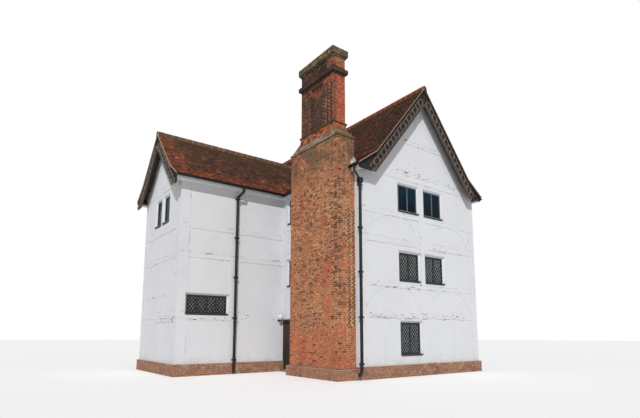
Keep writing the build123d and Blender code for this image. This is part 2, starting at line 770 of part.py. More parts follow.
def build_bargeboards():
    for name, face, roof, depth, foot in (
        ("front_bargeboards", FRONT, RANGE_ROOF, BARGE_DEPTH, BARGE_FOOT),
        ("back_bargeboards", BACK, RANGE_ROOF, BARGE_DEPTH, BARGE_FOOT),
        ("wing_bargeboards", WING_GABLE, WING_ROOF, WING_BARGE_DEPTH, WING_BARGE_FOOT),
    ):
        put(name, bargeboard(face, roof, -1, depth, foot), bargeboard(face, roof, 1, depth, foot))


def eaves_section(roof):
    """Fascia and soffit under the tiles' edge: (distance from the ridge line, height)."""
    out, inner = roof.fascia, roof.fascia - FASCIA_T
    return [
        (roof.half, BARGE_FOOT), (out, BARGE_FOOT), (out, roof.under(out)),
        (inner, roof.under(inner)), (inner, BARGE_FOOT + SOFFIT_T), (roof.half, BARGE_FOOT + SOFFIT_T),
    ]


def mirrored(points):
    return [(-h, z) for h, z in points]


def build_eaves():
    y0, y1 = -BARGE_IN, RANGE_D + BARGE_IN
    right = eaves_section(RANGE_ROOF)
    left = mirrored(right)
    runs = [run_y(range_section(right), y0, y1)]
    corners = WING_Y - WING_FASCIA_OUT, WING_BACK + WING_FASCIA_OUT
    for a, b in ((y0, STACK_Y), (STACK_Y + STACK_W, corners[0]), (corners[1], y1)):
        runs.append(run_y(range_section(left), a, b))
    wing = eaves_section(WING_ROOF)
    roofs = range_left_slope()
    for section in (wing, mirrored(wing)):
        runs.append(run_x(wing_section(section), -WING_L - BARGE_IN, 0) - roofs)
    put("eaves_boards", *runs)


def trough(face, radius):
    """Half round section with its rim at the top, on a plane across the run."""
    half = Circle(radius) & (Pos(0, -radius) * Rectangle(2 * radius, 2 * radius))
    return face * half


def gutter(runs):
    """Joined runs of half round gutter with stopped ends."""
    outer, inner = None, None
    for start, end in runs:
        a, b = Vector(*start), Vector(*end)
        way = (b - a).normalized()
        face = Plane(origin=a, x_dir=Vector(0, 0, 1).cross(way), z_dir=way)
        length = (b - a).length
        full = extrude(trough(face, GUTTER_R), amount=length)
        hollow = extrude(trough(face.offset(GUTTER_T), GUTTER_R - GUTTER_T), amount=length - 2 * GUTTER_T)
        outer = full if outer is None else outer + full
        inner = hollow if inner is None else inner + hollow
    return outer - inner


def pipe(*points, bend=PIPE_BEND, radius=PIPE_R):
    """A round pipe along straight runs with rounded bends."""
    path = FilletPolyline(*points, radius=bend) if len(points) > 2 else Polyline(*points)
    start = Plane(origin=path @ 0, z_dir=path % 0)
    return sweep(start * Circle(radius), path=path)


def collars(face, s, top, timber=0):
    """Pipe collars with brackets to the wall, or to the timber that stands out from it."""
    solids = []
    base = PLINTH_H + COLLAR_LOW
    count = round((top - base) / COLLAR_PITCH)
    for i in range(count + 1):
        z = base + i * (top - base) / count
        ring = face.offset(PIPE_OFF) * Pos(s, z) * (Rot(90, 0, 0) * Cylinder(COLLAR_R, COLLAR_H))
        arm = layer(face, Pos(s, z) * Rectangle(BRACKET, BRACKET), timber, PIPE_OFF)
        solids.append(ring + arm)
    return solids


def build_rainwater():
    off, wing_off = FASCIA_OUT + GUTTER_R, WING_FASCIA_OUT + GUTTER_R
    rim = EAVES_TOP - TILE_EDGE - GUTTER_GAP
    board = BARGE_IN + BARGE_T
    y0, y1 = -board, RANGE_D + board
    x0 = -WING_L - board
    left, right = -off, RANGE_W + off
    front, back = WING_Y - wing_off, WING_BACK + wing_off
    reach = GUTTER_R
    pieces = [
        gutter([((right, y0, rim), (right, y1, rim))]),
        gutter([((left, y0, rim), (left, STACK_Y, rim))]),
        gutter([((left, STACK_Y + STACK_W, rim), (left, front + reach, rim)),
                ((x0, front, rim), (left + reach, front, rim))]),
        gutter([((left, y1, rim), (left, back - reach, rim)),
                ((x0, back, rim), (left + reach, back, rim))]),
    ]
    put("gutters", *pieces)

    low = rim - GUTTER_R
    neck = low - NECK_DROP
    bend = neck - NECK_FALL
    wall_y, back_y, wall_x = WING_Y - PIPE_OFF, WING_BACK + PIPE_OFF, RANGE_W + PIPE_OFF
    turn = WING_PIPE_X + NECK
    pieces = [
        pipe((turn, front, low), (turn, front, neck), (WING_PIPE_X, wall_y, bend),
             (WING_PIPE_X, wall_y, PIPE_FOOT)),
        pipe((BACK_PIPE_X, back, low), (BACK_PIPE_X, back, neck), (BACK_PIPE_X, back_y, bend),
             (BACK_PIPE_X, back_y, PIPE_FOOT)),
        pipe((right, RIGHT_PIPE_Y, low), (right, RIGHT_PIPE_Y, neck), (wall_x, RIGHT_PIPE_Y, bend),
             (wall_x, RIGHT_PIPE_Y, PIPE_FOOT)),
    ]
    top = bend - COLLAR_H
    pieces += collars(WING_FRONT, WING_PIPE_X + WING_L, top)
    pieces += collars(WING_REAR, -BACK_PIPE_X, top, RELIEF)
    pieces += collars(RIGHT, RIGHT_PIPE_Y, top, RELIEF)

    x, y = HOPPER_X, -PIPE_OFF
    box = rect(x - HOPPER_W / 2, x + HOPPER_W / 2, bend - HOPPER_H, bend)
    box -= rect(x - HOPPER_W / 2 + GUTTER_T, x + HOPPER_W / 2 - GUTTER_T, bend - HOPPER_H + GUTTER_T, bend)
    walls = layer(FRONT, box, PIPE_OFF - HOPPER_D / 2, PIPE_OFF + HOPPER_D / 2)
    side = rect(x - HOPPER_W / 2, x + HOPPER_W / 2, bend - HOPPER_H, bend)
    walls += layer(FRONT, side, PIPE_OFF - HOPPER_D / 2, PIPE_OFF - HOPPER_D / 2 + GUTTER_T)
    walls += layer(FRONT, side, PIPE_OFF + HOPPER_D / 2 - GUTTER_T, PIPE_OFF + HOPPER_D / 2)
    feed_x = x - HOPPER_W / 4
    pieces += [
        walls,
        pipe((left, y, low), (left, y, neck), (feed_x, y, bend), (feed_x, y, bend - FEED_IN),
             bend=PIPE_BEND / 2, radius=FEED_R),
        pipe((x, y, bend - HOPPER_H), (x, y, SHOE_Z), (x - SHOE_OUT, y - SHOE_OUT / 3, SHOE_Z - SHOE_FALL)),
    ]
    pieces += collars(FRONT, x, bend - HOPPER_H - COLLAR_H, RELIEF)
    whole = pieces[0]
    for piece in pieces[1:]:
        whole += piece
    put("downpipes", whole)


def door_planes():
    """Depths of the doorway's parts from the wall's outer face, going indoors."""
    front = FRAME_SET
    back = front + JAMB_DEPTH
    leaf_in = back + LEAF_PROUD
    return front, back, leaf_in - LEAF_T, leaf_in


def door_pin():
    """The hinge pins' centre line."""
    near, _ = door_span()
    _, _, _, leaf_in = door_planes()
    return leaf_in + EYE_R, near - PIN_BACK


def build_door():
    near, far = door_span()
    front, back, leaf_out, leaf_in = door_planes()
    frame = block(front, back, near - JAMB, WING_Y, GROUND_TOP, DOOR_HEAD + JAMB)
    frame -= block(leaf_out - LEAF_GAP, back + 1, near, far, 0, DOOR_HEAD)
    frame -= block(front - 1, back + 1, near + STOP, far - STOP, 0, DOOR_HEAD - STOP)
    put("door_frame", frame)

    low, high = GROUND_TOP + LEAF_GAP, DOOR_HEAD - LEAF_GAP
    start, end = near + LEAF_GAP, far - LEAF_GAP
    leaf = block(leaf_out, leaf_in, start, end, low, high)
    board = (end - start) / DOOR_BOARDS
    for i in range(1, DOOR_BOARDS):
        y = start + i * board
        leaf -= block(leaf_out - 1, leaf_out + BOARD_GROOVE, y - BOARD_GROOVE / 2, y + BOARD_GROOVE / 2,
                      low - 1, high + 1)
    for z in (low + LEDGE_UP, (low + high) / 2, high - LEDGE_UP):
        leaf += block(leaf_in, leaf_in + LEDGE_T, start + LEDGE_IN, end - LEDGE_IN,
                      z - LEDGE_H / 2, z + LEDGE_H / 2)
    put("door_leaf", leaf)

    pin_x, pin_y = door_pin()
    irons, pintles = [], []
    for z in (low + STRAP_Z, high - STRAP_Z):
        strap = block(leaf_in, leaf_in + STRAP_T, pin_y, start + STRAP_L, z - STRAP_H / 2, z + STRAP_H / 2)
        eye = Pos(pin_x, pin_y, z) * Cylinder(EYE_R, STRAP_H)
        irons.append(strap + eye - Pos(pin_x, pin_y, z) * Cylinder(PIN_R + PIN_CLEAR, STRAP_H + 2))
        base = z - STRAP_H / 2 - PIN_SEAT
        pin = Pos(pin_x, pin_y, base) * Cylinder(PIN_R, STRAP_H + PIN_SEAT,
                                                 align=(Align.CENTER, Align.CENTER, Align.MIN))
        lug = block(back, pin_x + PIN_R, pin_y - PIN_R, pin_y + PIN_R, base - LUG_H, base)
        pintles.append(pin + lug)
    ring_z = low + RING_Z
    ring = Pos(leaf_out - RING_T, end - RING_IN, ring_z) * (Rot(0, 90, 0) * Torus(RING_R, RING_T))
    irons.append(ring)
    put("door_ironwork", *irons)
    put("door_pintles", *pintles)


def build_lamp():
    z = LAMP_Z
    x = -LAMP_IN
    plate = Pos(x, WING_Y - LAMP_PLATE_T / 2, z) * (Rot(90, 0, 0) * Cylinder(LAMP_PLATE_R, LAMP_PLATE_T))
    arm = Pos(x, WING_Y - LAMP_OUT / 2, z) * (Rot(90, 0, 0) * Cylinder(LAMP_ARM_R, LAMP_OUT))
    gallery = Pos(x, WING_Y - LAMP_OUT, z) * Cylinder(LAMP_GALLERY_R, LAMP_GALLERY_H)
    put("lamp_bracket", plate + arm + gallery)
    globe = Sphere(LAMP_R, arc_size1=-LAMP_SEAT, align=(Align.CENTER, Align.CENTER, Align.MIN))
    put("lamp_globe", Pos(x, WING_Y - LAMP_OUT, z + LAMP_GALLERY_H / 2) * globe)


def round_shaft(out, base, height):
    """A course round the chimney shaft, standing out from it on all four sides."""
    return block(-SHAFT_OUT - out, -SHAFT_BACK + out, SHAFT_Y - out, SHAFT_Y + SHAFT_W + out,
                 base, base + height)


def dentil_starts(start, length):
    """Places of the dentils along one side of the shaft, an equal margin at both ends."""
    count = int(length / DENTIL_PITCH)
    margin = (length - (count - 1) * DENTIL_PITCH - DENTIL_W) / 2
    return [start + margin + i * DENTIL_PITCH for i in range(count)]


def dentils():
    """Brick ends standing out under the shaft's band on all four sides."""
    base = BAND_BASE - DENTIL_H
    long_side = [(-SHAFT_OUT - DENTIL_OUT, -SHAFT_BACK + DENTIL_OUT, y, y + DENTIL_W)
                 for y in dentil_starts(SHAFT_Y, SHAFT_W)]
    short_side = [(x, x + DENTIL_W, SHAFT_Y - DENTIL_OUT, SHAFT_Y + SHAFT_W + DENTIL_OUT)
                  for x in dentil_starts(-SHAFT_OUT, SHAFT_OUT - SHAFT_BACK)]
    return [block(*sides, base, BAND_BASE) for sides in long_side + short_side]


def build_stack():
    x0, y0, y1 = -STACK_OUT, STACK_Y, STACK_Y + STACK_W
    foot = STACK_FOOT_OUT
    body = block(x0, 0, y0, y1, 0, STACK_TOP)
    body += block(x0 - foot, 0, y0 - foot, y1 + foot, 0, STACK_FOOT_H)
    out = STRING_OUT
    body += block(x0 - out, 0, y0 - out, y1 + out, STACK_TOP - STRING_H, STACK_TOP)
    low = Pos(x0 / 2, (y0 + y1) / 2, STACK_TOP) * Rectangle(STACK_OUT, STACK_W)
    sx = -(SHAFT_OUT + SHAFT_BACK) / 2
    sy = SHAFT_Y + SHAFT_W / 2
    thick, wide = SHAFT_OUT - SHAFT_BACK, SHAFT_W
    high = Pos(sx, sy, WEATHER_TOP) * Rectangle(thick + 2 * BASE_OUT, wide + 2 * BASE_OUT)
    body += loft([low, high])
    put("chimney_stack", body)
    shaft = round_shaft(0, SHAFT_BASE, SHAFT_TOP - SHAFT_BASE)
    shaft += dentils()
    shaft -= block(-SHAFT_OUT - 1, -SHAFT_OUT + RECESS_DEPTH, sy - RECESS_W / 2, sy + RECESS_W / 2,
                   SHAFT_BASE - 1, BAND_BASE - 2 * DENTIL_H)
    shaft += round_shaft(BASE_OUT, WEATHER_TOP, BASE_H)
    shaft += round_shaft(SHELF_OUT, WEATHER_TOP + BASE_H, SHELF_H)
    shaft += round_shaft(BAND_OUT, BAND_BASE, BAND_H)
    put("chimney_shaft", shaft)
    cap = round_shaft(CORBEL_OUT, SHAFT_TOP, CORBEL_H)
    cap += round_shaft(CAP_OUT, SHAFT_TOP + CORBEL_H, CAP_H - CORBEL_H)
    for i in (-1, 1):
        flue = Pos(sx, sy + i * SHAFT_W / 4, SHAFT_TOP + CAP_H) * Cylinder(FLUE / 2, 2 * FLUE_DEPTH)
        cap -= flue
    put("chimney_cap", cap)
    wall_z = RANGE_ROOF.top(RANGE_HALF)
    lead = block(0, LEAD_T, STACK_Y, y1, wall_z, wall_z + LEAD_H) - range_left_slope()
    upstand = [(0, wall_z), (0, wall_z + LEAD_H), (-EAVES_OUT, EAVES_TOP + LEAD_H), (-EAVES_OUT, EAVES_TOP)]
    cheek = outline(*[(x, 0, z) for x, z in upstand])
    for y in (STACK_Y - LEAD_T, y1):
        lead += run_y(cheek, y, y + LEAD_T)
    put("lead_flashing", lead)


os.makedirs("parts", exist_ok=True)
build_floors()
build_plinth()
build_walls()
build_windows()
build_timbers()
build_roof()
build_bargeboards()
build_eaves()
build_rainwater()
build_door()
build_lamp()
build_stack()
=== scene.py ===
"""Dresses the half timbered house: finishes, tiles, bricks, leaded lights, carving and the stage.

Everything is in metres in the part's own frame: +Z up, -Y to the front gable and -X to the
end of the wing. Walls and slopes are laid out on their own faces, as they are on site.
"""
import math
import random
from functools import reduce

import bpy
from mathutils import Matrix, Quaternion, Vector, noise
from mathutils.bvhtree import BVHTree


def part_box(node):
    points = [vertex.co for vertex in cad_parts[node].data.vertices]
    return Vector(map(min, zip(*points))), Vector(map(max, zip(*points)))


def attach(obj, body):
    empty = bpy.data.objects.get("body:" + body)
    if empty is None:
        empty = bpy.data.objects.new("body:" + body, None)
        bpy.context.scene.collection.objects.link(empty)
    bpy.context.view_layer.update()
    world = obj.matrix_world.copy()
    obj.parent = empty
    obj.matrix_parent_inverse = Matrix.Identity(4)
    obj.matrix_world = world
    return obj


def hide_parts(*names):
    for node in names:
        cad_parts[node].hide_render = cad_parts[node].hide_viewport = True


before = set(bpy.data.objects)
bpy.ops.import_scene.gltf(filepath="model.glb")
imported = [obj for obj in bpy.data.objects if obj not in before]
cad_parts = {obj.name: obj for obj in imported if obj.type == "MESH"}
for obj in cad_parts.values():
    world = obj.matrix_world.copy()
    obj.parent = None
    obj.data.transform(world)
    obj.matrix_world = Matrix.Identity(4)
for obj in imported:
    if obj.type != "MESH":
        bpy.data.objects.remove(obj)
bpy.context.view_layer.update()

bl_info = {
    "name": "Half timbered house dressing",
    "version": (1, 0, 0),
    "blender": (4, 5, 0),
    "location": "3D View > Sidebar > House",
    "description": "Lays tiles, bricks, leaded lights, carving and finishes on the packed house",
    "category": "Object",
}

# Places read from the frame
FRONT_LOW, FRONT_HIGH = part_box("range_front_wall")
GABLE_LOW, GABLE_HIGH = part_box("wing_gable_wall")
LEFT = FRONT_LOW.x
RIGHT = FRONT_HIGH.x
NEAR = FRONT_LOW.y
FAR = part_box("range_back_wall")[1].y
WING_END = GABLE_LOW.x
WING_NEAR = GABLE_LOW.y
WING_FAR = GABLE_HIGH.y
RIDGE_X = (LEFT + RIGHT) / 2
RIDGE_Y = (WING_NEAR + WING_FAR) / 2
VERGE_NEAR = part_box("range_roof_right")[0].y
VERGE_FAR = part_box("range_roof_right")[1].y
VERGE_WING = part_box("wing_roof_front")[0].x
PLINTH_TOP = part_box("brick_plinth")[1].z
PLINTH_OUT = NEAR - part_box("brick_plinth")[0].y
CAP_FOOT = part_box("chimney_cap")[0].z
STEP_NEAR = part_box("door_step")[0].y
DOOR_LOW, DOOR_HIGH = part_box("door_leaf")

# Ways outdoors from a wall
TO_LEFT = (-1, 0, 0)
TO_RIGHT = (1, 0, 0)
TO_FRONT = (0, -1, 0)
TO_BACK = (0, 1, 0)

# Roof sections, shared by the slopes, ridges and bargeboards
EAVES_TOP = 8.2
EAVES_OUT = 0.22
WING_EAVES_OUT = 0.36
KICK_PITCH = 0.711
VERGE_DEPTH = 0.07
RANGE_RIDGE = 12.5
RANGE_KICK = 0.75
WING_RIDGE = 10.82
WING_KICK = 0.45
BARGE_FACE = 0.38
BARGE_DEPTH = 0.74
WING_BARGE_DEPTH = 0.66
BARGE_FOOT = 7.99
WING_BARGE_FOOT = 7.79
FIRST_PIERCING = 0.42

# How far the lowest tiles hang past the eaves, and the outer ones stop short of the verge
DRIP = 0.025
TILE_INSET = 0.004

# Half round ridge tiles: reach down the slopes, outer and inner radius
RIDGE_FOOT = 0.155
RIDGE_RADIUS = 0.115
RIDGE_BORE = 0.1

# Stack, from the range's front left corner
STACK_OUT = 0.88
STACK_NEAR = 0.14
STACK_FAR = 3.28
STACK_FOOT = 0.40
STACK_FOOT_OUT = 0.11
STACK_TOP = 9.33
STRING_HIGH = 0.06
COPING_TOP = 9.57
WEATHER_TOP = 9.75
WEATHER_LEAN = 0.07
SHAFT_BASE = 9.98
SHAFT_NEAR = 0.40
SHAFT_FAR = 2.60
SHAFT_OUT = 0.83
SHAFT_BACK = 0.23
BASE_OUT = 0.025
RECESS_WIDE = 0.83
RECESS_DEEP = 0.11
RECESS_TOP = 11.93
DENTIL_LOW = 12.01
BAND_LOW = 12.09
BAND_TOP = 12.26
BAND_OUT = 0.095

# Start of the random draws for the mortar between stack and roof
FILLET_SEED = 3

# Levels of the rails: top and depth of each
RANGE_RAILS = ((2.6, 0.28), (3.72, 0.18), (5.56, 0.26), (6.65, 0.18), (8.42, 0.28), (10.0, 0.17))
WING_RAILS = ((2.6, 0.28), (5.02, 0.2), (6.25, 0.2), (8.26, 0.24), (9.47, 0.16))

# Marks of the brickwork, from the range's front left corner: from, to, lowest and highest
RED_REPAIRS = ((0.49, 0.96, 2.19, 3.14), (0.49, 0.96, 3.39, 4.46))
BURNT_STRIP = (-0.39, 0.0, 1.98, 6.3)
WEATHERED_EDGE = (-0.88, -0.73, 2.0, 9.3)
RED_FOOT = 1.9

# Narrowest cut brick
LEAST_CUT = 0.035

# Heights between which grime gathers on the stack and lichen on the shaft
GRIME_RISE = (7.5, 8.9)
LICHEN_RISE = (11.6, 12.4)

# Places where the limewash has come off in flakes, on each side: from, to, lowest and highest
WORN = {
    "front": ((4.27, 5.5, 5.2, 5.42), (0.65, 3.64, 3.5, 3.62), (3.5, 3.62, 3.7, 6.2), (0.63, 6.47, 2.27, 2.5),
              (3.6, 3.9, 2.4, 2.56), (3.6, 3.72, 10.2, 10.4), (2.76, 4.92, 9.93, 10.0),
              (3.3, 3.44, 8.7, 9.15), (1.96, 6.37, 8.35, 8.6)),
    "wing_gable": ((2.2, 4.53, 2.1, 2.45), (0.68, 4.07, 3.22, 3.33)),
    "wing_front": ((0.33, 4.73, 5.0, 5.1), (0.35, 2.02, 2.2, 2.32), (3.1, 3.35, 2.34, 2.48),
                   (4.1, 4.35, 2.24, 2.38)),
}

# Windows: the top floor's, above the first level, have plain panes. Depths are out from the glass,
# front and back, and nothing flakes nearer to a light than the last three.
LEADED_BELOW = 5.9
TOP_LIGHTS = (6.6, 8.1)
QUARRY_OUT = 0.007
CAME_DEPTH = (0.015, 0.004)
CASEMENT_DEPTH = (0.02, 0.003)
BESIDE_LIGHT = 0.16
BELOW_LIGHT = 0.1
ABOVE_LIGHT = 0.14

# The door: its boards, its ledges as shares of its height, and two rows of studs on each
DOOR_BOARDS = 5
LEDGES = (0.09, 0.5, 0.91)
STUD_RADIUS = 0.011
STUD_RISE = 0.007
STUD_ROWS = (-0.03, 0.03)

# Rainwater goods
GUTTER_RADIUS = 0.075
GUTTER_SET = 0.265
WING_GUTTER_SET = 0.405
GUTTER_RIM = 8.15
PIPE_SET = 0.16
PIPES = (("front", 0.025, 7.405), ("wing_front", 2.48, 7.595))
COLLAR_LOW = 0.59
COLLAR_PITCH = 1.85
STRAP_PITCH = 0.9
STRAP_END = 0.08

# The photograph's frame and the camera that took it
PICTURE_WIDE = 640
PICTURE_HIGH = 418
SENSOR = 36.0
FOCAL_PIXELS = 458.74
AXIS_ACROSS = 318.58
AXIS_DOWN = 270.0
CAMERA_SPOT = (-11.4535, -12.8923, 1.6912)
CAMERA_YAW = 0.6406
CAMERA_PITCH = 0.1379
CAMERA_ROLL = -0.0013
CLIP_END = 400

# Way to the sun, worked out from the photograph's shadows, and the studio floor
SUN = (-0.49, -0.62, 0.62)
FLOOR_RADIUS = 120.0
FLOOR_SIDES = 64
FLOOR_LEVEL = -0.002


def paint(*screen):
    """A colour written as a screen shows it, from 0 to 255, as the linear values of a finish."""
    return tuple(((c / 255 + 0.055) / 1.055) ** 2.4 if c > 10 else c / 255 / 12.92 for c in screen)


def clamp(value):
    return min(1.0, max(0.0, value))


def turn(sides, count=None):
    """Angles evenly spaced round a circle; one more than its sides closes it."""
    return [2 * math.pi * i / sides for i in range(count or sides)]


def ease(value, low, high):
    """0 below low, 1 above high and a smooth step between."""
    t = clamp((value - low) / (high - low))
    return t * t * (3 - 2 * t)


def drift(point, scale, seed=0.0):
    """Smooth random value from -1 to 1 over a place."""
    return noise.noise(Vector(point) * scale + Vector((seed, 2.3 * seed, 5.1 * seed)))


# Settings

def colour(name, description, value):
    return bpy.props.FloatVectorProperty(
        name=name, description=description, subtype="COLOR", size=3, min=0, max=1, default=value)


def length(name, description, value):
    return bpy.props.FloatProperty(
        name=name, description=description, default=value, min=0, unit="LENGTH", precision=4)


def share(name, description, value, high=1.0):
    return bpy.props.FloatProperty(name=name, description=description, default=value, min=0, max=high)


def seed(things, value):
    return bpy.props.IntProperty(
        name="Seed", description=f"Start of the {things} random draws", default=value)


class HouseFinishes(bpy.types.PropertyGroup):
    """Colours of the house's surfaces."""
    limewash: colour("Limewash", "Sound limewash on plaster and oak", paint(207, 208, 211))
    limewash_old: colour("Old limewash", "Thin or damp limewash", paint(190, 193, 197))
    bare_oak: colour("Bare oak", "Oak where the limewash has flaked", paint(112, 108, 102))
    dark_oak: colour("Dark oak", "Weathered boards, door and carving", paint(52, 46, 43))
    silver_oak: colour("Silvered oak", "Sunlit weathered oak", paint(92, 84, 78))
    frame_oak: colour("Window oak", "Grey window frames and sills", paint(54, 56, 57))
    brick_red: colour("Red brick", "Bright brick", paint(186, 84, 58))
    brick_buff: colour("Buff brick", "Common body colour of the stack", paint(172, 114, 80))
    brick_dark: colour("Burnt brick", "Dark headers and soot", paint(92, 68, 56))
    mortar: colour("Lime mortar", "Joints of the brickwork", paint(184, 156, 122))
    tile_red: colour("Red tile", "Newer clay tiles", paint(150, 80, 56))
    tile_brown: colour("Brown tile", "Old clay tiles", paint(74, 52, 45))
    lichen: colour("Lichen", "Yellow grey lichen on tiles, cap and carving", paint(142, 132, 88))
    moss: colour("Moss", "Moss in joints and damp places", paint(76, 78, 42))
    iron: colour("Painted iron", "Black rainwater goods and ironwork", paint(22, 22, 25))
    rust: colour("Rust", "Rust at joints of the iron", paint(104, 62, 38))
    lead: colour("Lead", "Lead cames and flashings", paint(142, 147, 147))
    # Painted shade: the dark of the unlit rooms seen through the quarries.
    glass: colour("Old glass", "Leaded quarries", paint(30, 35, 38))
    # Painted reflection: the sky's blue in the plain panes.
    glass_blue: colour("Upper glass", "Plain panes that mirror the sky", paint(2, 20, 34))
    stone: colour("Stone", "Coping, cap, step and floor", paint(128, 122, 110))
    boards: colour("Floor boards", "Oak floors indoors", paint(138, 108, 78))


class HouseTiles(bpy.types.PropertyGroup):
    """Plain clay tiles and ridge tiles."""
    gauge: length("Gauge", "Height of tile left showing in each course", 0.1)
    width: length("Width", "Width of a tile", 0.166)
    lap: length("Lap", "Length hidden under the next course", 0.022)
    thickness: length("Thickness", "Thickness of a tile", 0.015)
    gap: length("Gap", "Joint between two tiles", 0.009)
    camber: length("Camber", "Rise of a tile's middle over its sides", 0.004)
    unevenness: length("Unevenness", "Most that a tile lifts or slips", 0.007)
    spread: share("Spread", "How much tiles differ in tone from their neighbours", 0.17)
    ridge_length: length("Ridge tile", "Length of one ridge tile", 0.33)
    seed: seed("tiles'", 11)


class HouseBricks(bpy.types.PropertyGroup):
    """Hand made bricks in English bond."""
    course: length("Course", "Height of a brick and its joint", 0.075)
    stretcher: length("Stretcher", "Length of a long face and its joint", 0.228)
    joint: length("Joint", "Width of a mortar joint", 0.013)
    proud: length("Proud", "How far the faces stand out of the mortar", 0.006)
    worn: length("Worn edge", "Rounding of a brick's edges", 0.005)
    seed: seed("bricks'", 23)


class HouseLights(bpy.types.PropertyGroup):
    """Leaded windows."""
    quarry_wide: length("Quarry width", "Width of one diamond of glass", 0.146)
    quarry_high: length("Quarry height", "Height of one diamond of glass", 0.174)
    came: length("Came", "Width of a lead strip", 0.009)
    stile: length("Casement", "Width of a light's own frame", 0.026)
    lean: share("Lean", "Most that a quarry leans out of the window's plane, in radians", 0.03)
    seed: seed("quarries'", 5)


class HouseCarving(bpy.types.PropertyGroup):
    """Ovals and scrolls along the bargeboards."""
    pitch: length("Pitch", "Distance from one piercing to the next", 0.305)
    oval_long: length("Oval length", "Half length of an oval", 0.168)
    oval_wide: length("Oval width", "Half width of an oval", 0.135)
    width: length("Scroll", "Half length of a scroll", 0.15)
    relief: length("Relief", "How far the carving stands out", 0.03)
    stem: length("Stem", "Width of the raised bands", 0.034)


class HouseWear(bpy.types.PropertyGroup):
    """Flaked limewash along the timbers' edges, the darker flakes painted as shadow."""
    spacing: length("Spacing", "Mean distance between flakes along an edge", 0.13)
    longest: length("Longest", "Longest flake", 0.26)
    widest: length("Widest", "Widest flake", 0.03)
    crowding: share("Crowding", "Flakes in each metre of a worn place", 10.0, 40.0)
    seed: seed("flakes'", 41)


class HouseStage(bpy.types.PropertyGroup):
    """Floor, light and camera."""
    floor: colour("Floor", "Studio floor", paint(250, 250, 250))
    sky: share("Soft light", "Strength of the light from all round", 0.38, 5.0)
    key: share("Key light", "Strength of the soft key lamp", 2.75, 20.0)
    key_spread: share("Key spread", "Apparent width of the key lamp, in radians", 0.03, 3.0)


SETTING_GROUPS = {
    "house_finishes": HouseFinishes,
    "house_tiles": HouseTiles,
    "house_bricks": HouseBricks,
    "house_lights": HouseLights,
    "house_carving": HouseCarving,
    "house_wear": HouseWear,
    "house_stage": HouseStage,
}


# Finishes

class Link:
    """A socket in a tree of nodes; Python's operators on it add the maths nodes."""

    def __init__(self, nodes, socket):
        self.nodes = nodes
        self.socket = socket

    def maths(self, operation, *values):
        return self.nodes.node("ShaderNodeMath", {"operation": operation}, dict(enumerate(values)))

    def __add__(self, other):
        return self.maths("ADD", self, other)

    def __radd__(self, other):
        return self.maths("ADD", other, self)

    def __sub__(self, other):
        return self.maths("SUBTRACT", self, other)

    def __rsub__(self, other):
        return self.maths("SUBTRACT", other, self)

    def __mul__(self, other):
        return self.maths("MULTIPLY", self, other)

    def __rmul__(self, other):
        return self.maths("MULTIPLY", other, self)

    def __abs__(self):
        return self.maths("ABSOLUTE", self)

    def highest(self, other):
        return self.maths("MAXIMUM", self, other)

    def step(self, low, high):
        """A smooth step from 0 at low to 1 at high; low may be the larger."""
        return self.nodes.node(
            "ShaderNodeMapRange", {"interpolation_type": "SMOOTHSTEP"},
            {"Value": self, "From Min": low, "From Max": high})


class Nodes:
    """A tree of nodes being made."""

    def __init__(self, tree):
        self.tree = tree
        tree.nodes.clear()

    def node(self, kind, settings=None, sockets=None, output=0):
        """Adds a node: its settings first, then the values or links of its sockets."""
        made = self.tree.nodes.new(kind)
        for key, value in (settings or {}).items():
            if key == "stops":
                self.set_stops(made.color_ramp, value)
            else:
                setattr(made, key, value)
        for key, value in (sockets or {}).items():
            if isinstance(value, Link):
                self.tree.links.new(value.socket, made.inputs[key])
            else:
                made.inputs[key].default_value = value
        return Link(self, made.outputs[output]) if made.outputs else made

    def set_stops(self, ramp, stops):
        while len(ramp.elements) < len(stops):
            ramp.elements.new(0.5)
        for element, (position, value) in zip(ramp.elements, stops):
            element.position = position
            element.color = (*value, 1)


